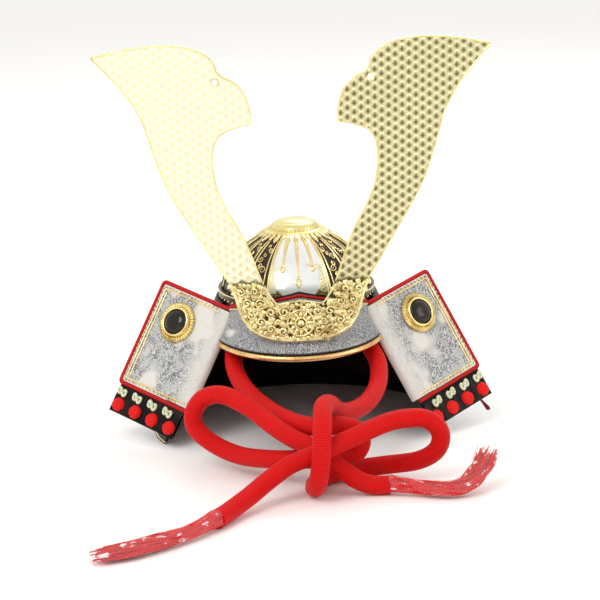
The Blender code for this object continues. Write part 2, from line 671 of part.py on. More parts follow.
def panel_origin(side):
    """Inner top corner of the panel's front face, so that its fold ends at the neck guard's front end."""
    height = BASE_HEIGHT - PANEL_DROP
    end = on_ellipse(neck_half(0, height), side * NECK_FRONT_ANGLE, height)
    reach = Vector((side * (FOLD_RADIUS + FOLD_RETURN + PANEL_CLEARANCE), PANEL_ADVANCE, 0))
    return end - panel_rotation(side).to_matrix() @ reach


def place_on_panel(made, side):
    made.rotation_mode = "YXZ"
    made.rotation_euler = panel_rotation(side)
    made.location = panel_origin(side)
    return made


def panel_outline():
    """Cross-section of the panel: a flat board whose inner edge rolls back towards the neck guard."""
    outer, inner = [], []
    for k in range(7):
        angle = math.pi * k / 6
        cos, sin = math.cos(angle), math.sin(angle)
        outer.append((FOLD_RADIUS * (1 - sin), FOLD_RADIUS * (1 - cos)))
        small = FOLD_RADIUS - PANEL_THICKNESS
        inner.append((FOLD_RADIUS - small * sin, FOLD_RADIUS - small * cos))
    tail = FOLD_RADIUS + FOLD_RETURN
    back = [(tail, 2 * FOLD_RADIUS), (tail, 2 * FOLD_RADIUS - PANEL_THICKNESS)]
    return outer + back + inner[::-1] + [(PANEL_WIDTH, PANEL_THICKNESS), (PANEL_WIDTH, 0)]


def trim_path():
    """Middle of the edging cord: along the top, down the outer side and back along the bottom."""
    clear = TRIM_RADIUS + GAP
    depth = PANEL_THICKNESS / 2
    path = [(TRIM_START, depth, clear)]
    for level, start in ((0, 90), (-PANEL_HEIGHT, 0)):
        for k in range(4):
            angle = math.radians(start - 30 * k)
            path.append((PANEL_WIDTH + clear * math.cos(angle), depth, level + clear * math.sin(angle)))
    return path + [(FOLD_RADIUS, depth, -PANEL_HEIGHT - clear)]


def make_panel(name, side):
    outline = panel_outline()
    sections = [[Vector((side * x, y, -down)) for x, y in outline] for down in (0, PANEL_HEIGHT)]
    place_on_panel(lofted(f"turned_panel_{name}", sections, "leather"), side)
    path = [(side * x, y, z) for x, y, z in trim_path()]
    place_on_panel(tube(f"panel_trim_{name}", path, TRIM_RADIUS, "red_silk"), side)


def make_knot_strip(name, side):
    """The lacquered lower edge with its two rows of tied knots."""
    top = -PANEL_HEIGHT - 2 * TRIM_RADIUS - 2 * GAP
    bottom = top - STRIP_HEIGHT
    near, far = FOLD_RADIUS, PANEL_WIDTH
    corners = [(near, 0), (far, 0), (far, STRIP_THICKNESS), (near, STRIP_THICKNESS)]
    sections = [[Vector((side * x, y, z)) for x, y in corners] for z in (top, bottom)]
    strip = place_on_panel(lofted(f"knot_strip_{name}", sections, "lacquer"), side)
    bm = bmesh.new()
    knots = (
        (RED_KNOT_EDGE, RED_KNOT_SPACING, RED_KNOT_DROP, RED_KNOT_RADIUS),
        (PALE_KNOT_EDGE, PALE_KNOT_SPACING, PALE_KNOT_DROP, PALE_KNOT_RADIUS),
    )
    for edge, spacing, drop, radius in knots:
        for k in range(KNOT_COUNT):
            spot = Vector((side * (PANEL_WIDTH - edge - spacing * k), STRIP_THICKNESS / 2, top - drop))
            add_dome(bm, spot, radius, radius * KNOT_RISE + STRIP_THICKNESS / 2, 8, 0.0)
    boolean(strip, place_on_panel(operand(f"knots_{name}", bm), side), "UNION")


def make_boss(name, side):
    """A gilt ring round a polished dark dome, seated on the panel."""
    face = Matrix.Translation((side * BOSS_ACROSS, -GAP, -BOSS_DOWN)) @ Matrix.Rotation(math.pi / 2, 4, "X")
    hole, bezel, rim, high = BOSS_DOME_RADIUS + GAP, BOSS_BEZEL_RADIUS, BOSS_RING_RADIUS, BOSS_RING_HEIGHT
    ring = bmesh.new()
    profile = [
        (hole, 0), (rim, 0), (rim, high * 0.30), ((rim + bezel) / 2, high * 0.62), (bezel, high * 0.45),
        ((2 * bezel + hole) / 3, high), (hole, high * 0.80),
    ]
    lathe(ring, profile, BOSS_STEPS, closed=True)
    bmesh.ops.transform(ring, matrix=face, verts=ring.verts)
    place_on_panel(mesh_object(f"boss_ring_{name}", ring, "gilt"), side)
    dome = bmesh.new()
    radius = BOSS_DOME_RADIUS
    profile = [(0, 0), (radius, 0), (radius, BOSS_RING_HEIGHT * 0.5)]
    for k in range(1, 4):
        angle = math.pi / 2 * k / 3
        profile.append((radius * math.cos(angle), BOSS_RING_HEIGHT * (0.5 + 0.6 * math.sin(angle))))
    profile[-1] = (0, profile[-1][1])
    lathe(dome, profile, BOSS_STEPS)
    bmesh.ops.transform(dome, matrix=face, verts=dome.verts)
    place_on_panel(mesh_object(f"boss_dome_{name}", dome, "dark_stone"), side)


# Tying cord, its anchors inside the bowl's waist and its film-wrapped tassels
def make_anchor(name, start):
    """A plain block inside the waist band that the cord comes out of."""
    wall = BOWL_HALF - Vector((1, 1)) * GAP
    middle = math.degrees(math.atan2(start.x / wall.x, -start.y / wall.y))
    reach = math.degrees(ANCHOR_WIDTH / 2 / wall.x)
    spots = [middle + reach * (2 * k / ANCHOR_CURVE_STEPS - 1) for k in range(ANCHOR_CURVE_STEPS + 1)]
    inner = wall - Vector((1, 1)) * ANCHOR_DEPTH
    sections = []
    for height in (start.z + GAP, BASE_HEIGHT - GAP):
        near = [on_ellipse(wall, spot, height) for spot in spots]
        far = [on_ellipse(inner, middle + turn * 1.3, height) for turn in (reach, -reach)]
        sections.append(near + far)
    lofted(f"cord_anchor_{name}", sections, "lacquer")


def cord_points(route):
    """Tube points of a route whose first span runs straight down out of its anchor."""
    points = [Vector(point) * MM for point in route]
    return [points[0]] + smooth_run(points[1:], CORD_STEPS)


def make_tassel(name, route, lead):
    """Silk ends gathered into locks, flattened where they lie; lead is the direction of the cord's end."""
    path = [Vector(point) * MM for point in route]
    sections = []
    for i, (spot, (wide, deep)) in enumerate(zip(path, TASSEL_SECTIONS)):
        along = lead if i == 0 else (path[min(i + 1, len(path) - 1)] - path[i - 1]).normalized()
        side = along.cross(Vector((0, 0, 1))).normalized()
        up = side.cross(along).normalized()
        if i == 0:
            spot = spot + along * GAP
        count = 2 * TASSEL_LOCKS
        row = []
        for k in range(count):
            angle = math.tau * (k + 0.5) / count
            lock = 1 - TASSEL_LOCK_SHARE * (k % 2)
            across = side * math.cos(angle) * TASSEL_WIDTH * wide
            row.append(spot + (across + up * math.sin(angle) * TASSEL_DEPTH * deep) * lock / 2)
        sections.append(row)
    lofted(f"tassel_{name}", sections, "film")


def make_cords():
    cords = (
        ("left", CORD_LEFT_ROUTE, "right", TASSEL_RIGHT_ROUTE),
        ("right", CORD_RIGHT_ROUTE, "left", TASSEL_LEFT_ROUTE),
    )
    for name, route, far_side, tassel in cords:
        points = cord_points(route)
        tube(f"cord_{name}", points, CORD_RADIUS, "red_silk", CORD_RESOLUTION)
        make_anchor(name, points[0])
        make_tassel(far_side, tassel, (points[-1] - points[-2]).normalized())


def centre_depth():
    """Moves the helmet along Y so that the middle of its depth, cord left out, is on the origin."""
    bpy.context.view_layer.update()
    low, high = [], []
    for made in helmet.children:
        if made.name.startswith(("cord_left", "cord_right", "tassel")) or made.hide_render:
            continue
        depths = [(made.matrix_world @ Vector(corner)).y for corner in made.bound_box]
        low.append(min(depths))
        high.append(max(depths))
    helmet.location.y = -(min(low) + max(high)) / 2


make_bowl()
make_crown()
make_front_plate()
make_spike("front_spike_centre", 0, CENTRE_SPIKE_DROP)
make_spike("front_spike_left", -SIDE_SPIKE_ANGLE, SIDE_SPIKE_DROP)
make_spike("front_spike_right", SIDE_SPIKE_ANGLE, SIDE_SPIKE_DROP)
make_band()
make_visor()
make_crest_base()
make_horn("horn_left", -1)
make_horn("horn_right", 1)
for index in range(NECK_PLATE_COUNT):
    make_neck_plate(index)
for label, hand in (("left", -1), ("right", 1)):
    make_panel(label, hand)
    make_knot_strip(label, hand)
    make_boss(label, hand)
make_cords()
centre_depth()
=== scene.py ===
import random
from math import cos, degrees as in_degrees, pi, radians, sin, sqrt, tan, tau

import bmesh
import bpy
from mathutils import Euler, Matrix, Vector


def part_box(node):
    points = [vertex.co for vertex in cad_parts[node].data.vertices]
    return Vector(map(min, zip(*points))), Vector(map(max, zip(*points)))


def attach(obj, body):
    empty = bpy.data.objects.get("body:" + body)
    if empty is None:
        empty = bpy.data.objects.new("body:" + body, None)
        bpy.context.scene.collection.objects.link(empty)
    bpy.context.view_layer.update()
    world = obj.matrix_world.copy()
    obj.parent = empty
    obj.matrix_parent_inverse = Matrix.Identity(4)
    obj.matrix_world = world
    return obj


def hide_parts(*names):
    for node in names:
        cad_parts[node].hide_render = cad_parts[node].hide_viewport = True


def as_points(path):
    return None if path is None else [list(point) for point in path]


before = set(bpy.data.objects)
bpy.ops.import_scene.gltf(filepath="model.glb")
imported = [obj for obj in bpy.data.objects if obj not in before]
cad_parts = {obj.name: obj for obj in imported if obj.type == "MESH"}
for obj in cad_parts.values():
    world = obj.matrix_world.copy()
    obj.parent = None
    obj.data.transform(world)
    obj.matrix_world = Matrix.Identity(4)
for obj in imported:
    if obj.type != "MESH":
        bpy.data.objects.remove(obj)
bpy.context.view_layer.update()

# Camera: it looks slightly down at the helmet, a little from its left side, and is rolled
# a little. The helmet's middle is the centre of the waist band's oval, at the bowl's BASE,
# which is 95 mm above the floor.
MM = 0.001
BASE = 95
band_low, band_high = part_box("waist_band")
MIDDLE = Vector((0, (band_low[1] + band_high[1]) / 2, BASE * MM))
aside, above, tipped = (radians(angle) for angle in (1.8, 13.0, 1.95))
look = Vector((sin(aside) * cos(above), cos(aside) * cos(above), -sin(above)))
level = Vector((cos(aside), -sin(aside), 0))
upward = level.cross(look)


def placed(name, data):
    made = bpy.data.objects.new(name, data)
    bpy.context.collection.objects.link(made)
    return made


camera = placed("camera", bpy.data.cameras.new("camera"))
bpy.context.scene.camera = camera
camera.data.sensor_width = 36
camera.data.lens = 144.2
camera.data.shift_x = 0.0064
camera.data.shift_y = -0.0286
axes = Matrix((
    level * cos(tipped) - upward * sin(tipped),
    upward * cos(tipped) + level * sin(tipped),
    -look,
)).transposed()
camera.matrix_world = Matrix.Translation(MIDDLE - look * 1.566) @ axes.to_4x4()


# Tying cord: a round braid of bright red silk in two lengths. Each leaves the bowl's waist
# inside, and the two are tied in front in a bow that lies on the floor.
class Link:
    """A node's output, or a sum of them, that adds and multiplies like a number."""

    def __init__(self, finish, made, out=0):
        self.finish = finish
        self.made = made
        self.socket = made.outputs[out]

    def part(self, out):
        return Link(self.finish, self.made, out)

    def maths(self, operation, *others):
        return self.finish.node("ShaderNodeMath", (self, *others), operation=operation)

    def __add__(self, other):
        return self.maths("ADD", other)

    def __sub__(self, other):
        return self.maths("SUBTRACT", other)

    def __rsub__(self, other):
        return self.finish.node("ShaderNodeMath", (other, self), operation="SUBTRACT")

    def __mul__(self, other):
        return self.maths("MULTIPLY", other)

    def __truediv__(self, other):
        return self.maths("DIVIDE", other)

    def __gt__(self, other):
        return self.maths("GREATER_THAN", other)

    def __or__(self, other):
        return self.maths("MAXIMUM", other)

    __radd__ = __add__
    __rmul__ = __mul__


class Finish:
    """A material whose nodes all come from its node method."""

    def __init__(self, name, **flat):
        self.material = bpy.data.materials.new(name)
        self.material.use_nodes = True
        self.tree = self.material.node_tree
        self.shader = self.tree.nodes["Principled BSDF"]
        for socket, value in flat.items():
            self.shader.inputs[socket.replace("_", " ")].default_value = value

    def node(self, kind, sockets=(), **settings):
        made = self.tree.nodes.new(kind)
        for setting, value in settings.items():
            setattr(made, setting, value)
        for socket, value in sockets.items() if isinstance(sockets, dict) else enumerate(sockets):
            self.join(value, made.inputs[socket])
        return Link(self, made)

    def join(self, value, socket):
        if isinstance(value, Link):
            self.tree.links.new(value.socket, socket)
        else:
            socket.default_value = value

    def where(self, kind="Object"):
        return self.node("ShaderNodeTexCoord").part(kind)

    def split(self, place):
        parts = self.node("ShaderNodeSeparateXYZ", (place,))
        return parts.part("X"), parts.part("Y"), parts.part("Z")

    def cloud(self, scale, detail=3.0, rough=0.55, place=None):
        sockets = {"Vector": place or self.where(), "Scale": scale, "Detail": detail, "Roughness": rough}
        return self.node("ShaderNodeTexNoise", sockets)

    def ease(self, value, low, high):
        return self.node("ShaderNodeMapRange", (value, low, high), interpolation_type="SMOOTHSTEP")

    def blend(self, share, first, second):
        made = self.node("ShaderNodeMix", {0: share}, data_type="RGBA")
        for value, socket in ((first, 6), (second, 7)):
            self.join(value if isinstance(value, Link) else (*value, 1), made.made.inputs[socket])
        return made.part(2)

    def shifted(self, place, **how):
        return self.node("ShaderNodeMapping", {0: place, **how})

    def wear(self, colour, roughness, height=None, depth=0.2, strength=0.6):
        """Sends what changes over the surface to the shader; depth is in millimetres."""
        self.join(colour, self.shader.inputs["Base Color"])
        self.join(roughness, self.shader.inputs["Roughness"])
        if height is not None:
            sockets = {"Height": height, "Distance": depth * MM, "Strength": strength}
            self.join(self.node("ShaderNodeBump", sockets), self.shader.inputs["Normal"])


def at(x, y, z):
    """A point given in millimetres from under the helmet's middle, as part of the row frame."""
    return Vector((x * MM, y * MM + MIDDLE.y, z * MM))


def smooth_run(points, steps):
    """A Catmull-Rom curve through the points, with some steps for each span."""
    points = [Vector(point) for point in points]
    padded = [2 * points[0] - points[1], *points, 2 * points[-1] - points[-2]]
    run = []
    for a, b, c, d in zip(padded, padded[1:], padded[2:], padded[3:]):
        bend, twist = 2 * a - 5 * b + 4 * c - d, 3 * b - a - 3 * c + d
        for i in range(steps):
            t = i / steps
            run.append(0.5 * (2 * b + (c - a) * t + bend * t**2 + twist * t**3))
    return run + [points[-1]]


def drawn(place, start, end, count):
    """Points that a placing function gives along a straight run between two rows of numbers."""
    return [place(*(a + (b - a) * k / count for a, b in zip(start, end))) for k in range(count + 1)]


def evenly(line, step):
    """The same line with its points one step apart, in millimetres."""
    lengths = [(b - a).length for a, b in zip(line, line[1:])]
    count = max(2, round(sum(lengths) / (step * MM)))
    goal, run, gone, i = sum(lengths) / count, [line[0]], 0.0, 0
    for k in range(1, count):
        while i < len(lengths) - 1 and gone + lengths[i] < goal * k:
            gone += lengths[i]
            i += 1
        run.append(line[i].lerp(line[i + 1], (goal * k - gone) / max(lengths[i], 1e-9)))
    return run + [line[-1]]


def wrap(bm, columns, rows, place, cloth=(1, 1), layer=0):
    """Lays a grid over a surface; cloth is the size in metres that its UV map measures."""
    uv = bm.loops.layers.uv.verify()
    made = bmesh.ops.create_grid(bm, x_segments=columns, y_segments=rows, size=0.5, calc_uvs=True)["verts"]
    for vert in made:
        vert.co = place(vert.co.x + 0.5, vert.co.y + 0.5)
    for face in {face for vert in made for face in vert.link_faces}:
        face.material_index = layer
        face.smooth = True
        for corner in face.loops:
            corner[uv].uv = (corner[uv].uv.x * cloth[0], corner[uv].uv.y * cloth[1])


def roll(bm, path, radius, sides=8, flat=1.0, layer=0, up=None, closed=False, relief=None):
    """A cord, wire or rolled edge; radius, in millimetres, may change along it, relief round it too."""
    count = len(path) - 1
    rings, side = [], None
    for i, spot in enumerate(path):
        ahead = path[min(i + 1, count)] if not (closed and i == count) else path[1]
        behind = path[max(i - 1, 0)] if not (closed and i == 0) else path[-2]
        along = (ahead - behind).normalized()
        if up is not None:
            side = along.cross(up(spot) if callable(up) else up).normalized()
        elif side is None:
            side = along.cross(Vector((0.1, 0.2, 1))).normalized()
        else:
            side = (side - along * side.dot(along)).normalized()
        rings.append((spot, side, side.cross(along)))
    length = sum((b - a).length for a, b in zip(path, path[1:]))

    def place(u, v):
        spot, side, rise = rings[round(u * count)]
        reach = (radius(u) if callable(radius) else radius) * MM
        if relief:
            reach *= 1 + relief(u * length, v)
        angle = tau * v
        return spot + (side * cos(angle) + rise * (flat * sin(angle))) * reach

    wrap(bm, count, sides, place, (length, 1), layer)


def piece(name, bm, finishes, slot, stands_for=(), caps=True):
    """Closes the seams and ends, turns the faces out and hands the piece to the frame."""
    bmesh.ops.remove_doubles(bm, verts=bm.verts, dist=0.002 * MM)
    if caps:
        bmesh.ops.holes_fill(bm, edges=[edge for edge in bm.edges if edge.is_boundary], sides=0)
    bmesh.ops.recalc_face_normals(bm, faces=bm.faces)
    mesh = bpy.data.meshes.new(name)
    bm.to_mesh(mesh)
    bm.free()
    mesh.set_sharp_from_angle(angle=radians(50))
    for finish in finishes:
        mesh.materials.append(finish.material)
    made = placed(name, mesh)
    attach(made, "root")
    if stands_for:
        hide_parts(*stands_for)
    return made


def braid_finish(name, bright, deep, pitch):
    """Silk braid: chevron strands that follow the piece's own length, with a soft sheen and painted shade in
    the grooves between strands.
    """
    silk = Finish(name, Sheen_Weight=0.03, Sheen_Roughness=0.4, Specular_IOR_Level=0.12)
    run, turn, _ = silk.split(silk.where("UV"))
    fold = (turn * 6).maths("PINGPONG", 0.5)
    wound = run / (pitch * MM)
    strand = ((wound + fold * 0.9) * tau).maths("SINE")
    thread = ((turn * 110 + wound) * tau).maths("SINE")
    height = strand * 0.5 + 0.5
    fuzz = silk.cloud(900.0, 2.0)
    # Painted shade: the deep colour darkens the low grooves between strands, and the strand tops stay bright.
    shade = silk.ease(height * 0.8 + fuzz * 0.3, 0.08, 0.72)
    broad = silk.cloud(60.0, 2.0)
    colour = silk.blend(shade, deep, bright)
    colour = silk.blend(silk.ease(broad, 0.45, 0.75) * 0.2, colour, bright)
    silk.wear(colour, 0.62 - shade * 0.16, height + thread * 0.14 + fuzz * 0.25, 0.3, 0.5)
    return silk


cord_silk = braid_finish("cord_silk", (0.68, 0.004, 0.004), (0.40, 0.002, 0.002), 1.25)
CORD_RADIUS = 5.75 * MM
CORD_ROUTES = {
    "left": [
        (-36, -20, 82), (-36, -20, 78), (-38, -23.5, 70), (-42, -31, 60), (-42.5, -44, 52),
        (-38, -63, 45), (-30, -84, 40.5), (-19, -107, 38), (-7, -127, 37.2), (6, -138, 37.4),
        (18, -139, 38.2), (28, -137, 35), (32, -137, 27.5), (28, -138, 20), (18, -139, 18),
        (6, -139.5, 17.8), (-8, -137, 17.5), (-25, -126, 15), (-42, -109, 13), (-57, -97, 17),
        (-68, -91, 26), (-69, -90, 36.5), (-62, -91, 45.5), (-50, -98, 48.5), (-36, -111, 44.5),
        (-22, -128, 37.5), (-9, -141, 31.5), (4, -148.6, 26.6), (15, -153.5, 18.5), (27, -157, 9.5),
        (37, -158.5, 6.2), (47, -159, 6),
    ],
    "right": [
        (36, -20, 82), (36, -20, 78), (38, -23.5, 70), (44, -31, 60), (49, -45, 51), (47.5, -65, 43.5),
        (40, -88, 38.5), (29.5, -107, 38), (20, -122, 42), (13, -135, 50.6), (9, -148.5, 52.6),
        (7.5, -163, 48), (6.5, -173, 38.5), (5.5, -175.5, 26), (3.5, -171, 13.5), (2, -160, 6.6),
        (4, -147.5, 6), (12, -135.5, 6.3), (27, -129, 7), (47, -129, 9), (66, -134, 12.5),
        (77, -139, 20.5), (79, -141, 32), (70, -142, 41), (52, -146, 42), (34, -153, 38),
        (18, -160, 33.5), (4, -163.5, 28.5), (-12, -165, 23), (-26, -171, 15.5), (-38, -182, 9.5),
        (-48, -195, 6.6), (-57, -210, 6),
    ],
}
cords, cord_paths = {}, {}
for name, route in CORD_ROUTES.items():
    points = [at(*point) for point in route]
    line = [points[0]] + smooth_run(points[1:], 8)
    path = evenly(line, 0.6)
    slack = random.Random(4 if name == "left" else 9)
    waves = [(slack.uniform(90, 260), slack.uniform(0, tau), slack.randint(1, 3)) for _ in range(5)]

    def uneven(run, v):
        soft = sum(sin(run * pace + start + tau * v * turn) for pace, start, turn in waves)
        rib = cos(tau * (run / (2.5 * MM) + 0.45 * abs(v * 6 % 1 * 2 - 1)))
        return 0.006 * soft + 0.005 * rib - 0.01

    bm = bmesh.new()
    roll(bm, path, CORD_RADIUS / MM, 28, relief=uneven)
    cords[name] = piece(f"cord_braid_{name}", bm, [cord_silk], "cord_silk", [f"cord_{name}"])
    cord_paths[name] = line

# Cord ends: silk threads teased out of the braid and wrapped in thin clear film, which
# keeps them tidy on the shelf. The film is crinkled and open at the far end; its white glints
# are painted highlights, white streaks in its colour that are also less see-through.
tassel_silk = braid_finish("tassel_silk", (0.84, 0.012, 0.014), (0.50, 0.004, 0.006), 2.2)
film = Finish("tassel_film", Alpha=0.2, Specular_IOR_Level=0.8)
crease = film.cloud(210.0, 4.0, 0.7)
streak = film.shifted(film.where("UV"), Scale=(9.0, 8.0, 1.0))
# Painted highlight: white streaks in the film's colour, also less see-through than the rest of it.
painted_glint = film.ease(film.cloud(1.0, 4.0, 0.6, streak), 0.56, 0.66)
tint = film.blend(painted_glint, (0.95, 0.45, 0.45), (1.0, 0.98, 0.97))
film.wear(tint, 0.22 - painted_glint * 0.12, crease, 2.5, 0.9)
film.join(painted_glint * 0.6 + 0.14, film.shader.inputs["Alpha"])
TASSEL_ROUTES = {
    "right": [
        (47, -159, 6), (62, -164.5, 5.2), (78, -170, 4.8), (91, -168, 6.5), (101, -158, 13), (108, -146, 22),
    ],
    "left": [
        (-57, -210, 6), (-68, -224, 5.2), (-81, -236, 4.7), (-95, -246, 4.5), (-110, -254, 4.3),
        (-127, -261, 3.8),
    ],
}
TASSEL_SHAPE = [(5.3, 4.6), (4.2, 3.7), (4.6, 3.8), (6.0, 4.0), (7.6, 3.9), (8.0, 3.6), (7.6, 3.4)]


def tassel_size(share):
    """Half width and half depth in millimetres of the wrapped bundle at a share of its length."""
    place = min(share, 0.9999) * (len(TASSEL_SHAPE) - 1)
    low, high = TASSEL_SHAPE[int(place)], TASSEL_SHAPE[int(place) + 1]
    return [a + (b - a) * (place % 1) for a, b in zip(low, high)]


def tassel_reach(path, i, angle, share):
    """From the middle of the bundle to its outside, in millimetres; it is fuller above than below."""
    along = (path[min(i + 1, len(path) - 1)] - path[max(i - 1, 0)]).normalized()
    side = along.cross(Vector((0, 0, 1))).normalized()
    wide, deep = tassel_size(share)
    return side * cos(angle) * wide + side.cross(along) * max(sin(angle) * 1.45, sin(angle)) * deep


for name, route in TASSEL_ROUTES.items():
    path = evenly(smooth_run([at(*point) for point in route], 8), 1.6)
    count = len(path) - 1
    stray = random.Random(21 if name == "left" else 34)
    bm = bmesh.new()
    for k in range(130):
        turn, depth = stray.uniform(0, tau), sqrt(stray.uniform(0.05, 1))
        twist, wave, stop = stray.uniform(-1.2, 1.2), stray.uniform(0, tau), stray.uniform(0.8, 1.0)
        thread = []
        for i, spot in enumerate(path[: int(count * stop) + 1]):
            share = i / count
            loose = depth * 0.84 * (1 + 0.1 * sin(wave + share * 17))
            angle = turn + twist * share + 0.25 * sin(wave + share * 9)
            thread.append(spot + tassel_reach(path, i, angle, share) * loose * MM)
        roll(bm, thread, lambda u: 0.58 - 0.25 * u, 5)
    threads = piece(f"tassel_threads_{name}", bm, [tassel_silk], "tassel_film", [f"tassel_{name}"])
    bm = bmesh.new()
    wrinkle = [(stray.randint(2, 7), stray.uniform(20, 70), stray.uniform(0, tau)) for _ in range(7)]

    def film_place(u, v):
        i = round(u * count)
        fold = sum(sin(turn * tau * v + pace * u + start) for turn, pace, start in wrinkle)
        return path[i] + tassel_reach(path, i, tau * v, u) * (0.97 + 0.025 * fold) * MM

    wrap(bm, count, 36, film_place)
    sleeve = piece(f"tassel_sleeve_{name}", bm, [film], "tassel_film", caps=False)

for name, far in (("left", "right"), ("right", "left")):
    line = cord_paths[name]
    length = sum((b - a).length for a, b in zip(line, line[1:]))
    start = CORD_ROUTES[name][0]
    at(*start)
    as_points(line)

# Bowl: curved lacquered plates riveted edge to edge. A pair of thin gilt wires covers each
# seam, and gilt scrolls are laid on the plates beside the front plate.
BOWL_HALF = Vector((48, 52))
BOWL_HEIGHT = 39
BOWL_ROWS = [
    (1, 0), (0.985, 0.1), (0.945, 0.24), (0.865, 0.41), (0.745, 0.585), (0.61, 0.72),
    (0.475, 0.82), (0.41, 0.862), (0.3, 0.92), (0.2, 0.955),
]
bowl_curve = smooth_run(BOWL_ROWS, 10)
ONES = Vector((1, 1))


def bowl_share(height):
    """Share of the bowl's half width at a height in millimetres above its base."""
    rise = min(max(height / BOWL_HEIGHT, 0.0), 0.9549)
    for a, b in zip(bowl_curve, bowl_curve[1:]):
        if rise <= b.y:
            return a.x + (b.x - a.x) * (rise - a.y) / (b.y - a.y)
    return bowl_curve[-1].x


def on_bowl(degrees, height, proud=0.0):
    """A point of the bowl's face, moved straight out from it, all in millimetres."""
    below, share, over = (bowl_share(height + step) for step in (-1.5, 0, 1.5))
    lean = Vector((3, (below - over) * BOWL_HALF.y)).normalized() * proud
    half = BOWL_HALF * share + ONES * lean.x
    angle = radians(degrees)
    return at(half.x * sin(angle), -half.y * cos(angle), BASE + height + lean.y)


def dress(node, finish):
    """Gives a CAD node's own object a finish."""
    slots = bpy.data.objects[node].data.materials
    slots.clear()
    slots.append(finish.material)


lacquer = Finish("bowl_lacquer", Coat_Weight=0.12, Coat_Roughness=0.12, Specular_IOR_Level=0.25)
grain = lacquer.cloud(45.0, 5.0, 0.6)
fine = lacquer.cloud(420.0)
tone = lacquer.blend(lacquer.ease(grain, 0.35, 0.7), (0.012, 0.007, 0.005), (0.055, 0.026, 0.017))
lacquer.wear(tone, 0.24 + grain * 0.22, grain * 0.6 + fine * 0.25, 0.25, 0.5)
dress("bowl", lacquer)


def gilt_finish(name, bright, dull, smoothness=0.22, pitted=0.35):
    """Gilt metal with a faint hammered face and a cloudy tone, darker and rougher where the face stands a
    little higher.
    """
    gilt = Finish(name, Metallic=1.0)
    broad = gilt.cloud(90.0, 4.0)
    small = gilt.cloud(900.0)
    colour = gilt.blend(gilt.ease(broad + small * 0.35, 0.5, 0.95), bright, dull)
    gilt.wear(colour, broad * 0.22 + smoothness, broad + small * pitted, 0.3, 0.35)
    return gilt


bright_gilt = gilt_finish("bright_gilt", (0.95, 0.80, 0.40), (0.78, 0.58, 0.22), 0.1)
bm = bmesh.new()
FIRST_RIB, RIB_STEP = 27, 153 / 8
for rib in (FIRST_RIB + RIB_STEP * k for k in range(17)):
    for apart in (-1.9, 1.9):
        path = drawn(on_bowl, (rib + apart, 1.4, 0.28), (rib + apart * 1.1, 32.4, 0.28), 26)
        roll(bm, path, 0.6)
piece("seam_wires", bm, [bright_gilt], "bowl_lacquer")


def spiral(turns, radius, start, hand, count=26):
    """Points of a flat curl that winds out from its eye."""
    run = []
    for k in range(count):
        share = k / (count - 1)
        angle = start + hand * tau * turns * share
        run.append(Vector((cos(angle), sin(angle))) * radius * (0.12 + 0.88 * share))
    return run


bm = bmesh.new()
for side in (-1, 1):
    for k in range(2):
        middle = side * (FIRST_RIB + RIB_STEP * (k + 0.5))
        for j, (up, size) in enumerate(((5.0, 3.2), (11.5, 3.0), (17.5, 2.7), (23.0, 2.2), (27.5, 1.6))):
            hand = side * (1 if j % 2 else -1)
            for turns, start, offset in ((1.4, 0.5, 0), (1.1, 3.6, 2.2)):
                curl = spiral(turns, size * (1 if not offset else 0.62), start * hand, hand)
                width = 0.84 * bowl_share(up)
                shift = (2.0 - offset) * hand
                path = [on_bowl(middle + (p.x + shift) / width, up + p.y * 0.8 + offset, 0.2) for p in curl]
                roll(bm, path, lambda u: 0.22 + 0.3 * u, 5)
piece("plate_scrolls", bm, [bright_gilt], "bowl_lacquer")

# Crown fitting: a turned gilt cap in two steps over the crown hole, with a beaded edge
# and a ring of small gilt leaves that spread from under it over the bowl.
pale_gilt = gilt_finish("crown_gilt", (0.92, 0.81, 0.40), (0.72, 0.56, 0.21), 0.16)
crown_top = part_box("crown_fitting")[1][2] / MM
CROWN_PROFILE = [
    (18.4, -9.3), (19.0, -8.9), (19.2, -8.2), (18.9, -7.4), (18.2, -6.9), (17.4, -6.5), (16.6, -6.2),
    (15.9, -6.0), (15.6, -5.6), (15.55, -5.0), (15.4, -4.5), (15.0, -3.9), (14.2, -3.0), (13.3, -2.3),
    (12.4, -1.9), (11.6, -1.75), (11.2, -1.45), (10.8, -1.15), (9.4, -0.8), (7.2, -0.45), (5.0, -0.2),
    (2.4, -0.05), (0.0, 0.0),
]


def bead(bm, spot, radius, columns=10, rows=6, layer=0):
    """A round bead; its radius is in millimetres."""
    middle = Matrix.Translation(spot)
    size = {"u_segments": columns, "v_segments": rows, "radius": radius * MM}
    made = bmesh.ops.create_uvsphere(bm, matrix=middle, **size)["verts"]
    for face in {face for vert in made for face in vert.link_faces}:
        face.smooth = True
        face.material_index = layer


bm = bmesh.new()
dots = [bm.verts.new(at(radius, 0, crown_top + height)) for radius, height in CROWN_PROFILE]
edges = [bm.edges.new(pair) for pair in zip(dots, dots[1:])]
bmesh.ops.spin(bm, geom=dots + edges, axis=(0, 0, 1), cent=MIDDLE, angle=tau, steps=96, use_merge=True)
for face in bm.faces:
    face.smooth = True
for count, radius, height, size in ((44, 18.9, -7.7, 1.15), (36, 15.4, -5.2, 0.75)):
    for k in range(count):
        angle = tau * k / count
        bead(bm, at(radius * sin(angle), -radius * cos(angle), crown_top + height), size)
piece("crown_cap", bm, [pale_gilt], "crown_gilt", ["crown_fitting"])

bm = bmesh.new()
LEAF_COUNT = 32
LEAF_SHAPE = [(0.0, 0.5), (0.25, 0.85), (0.5, 1.0), (0.75, 0.72), (1.0, 0.04)]
leaf_line = smooth_run(LEAF_SHAPE, 8)


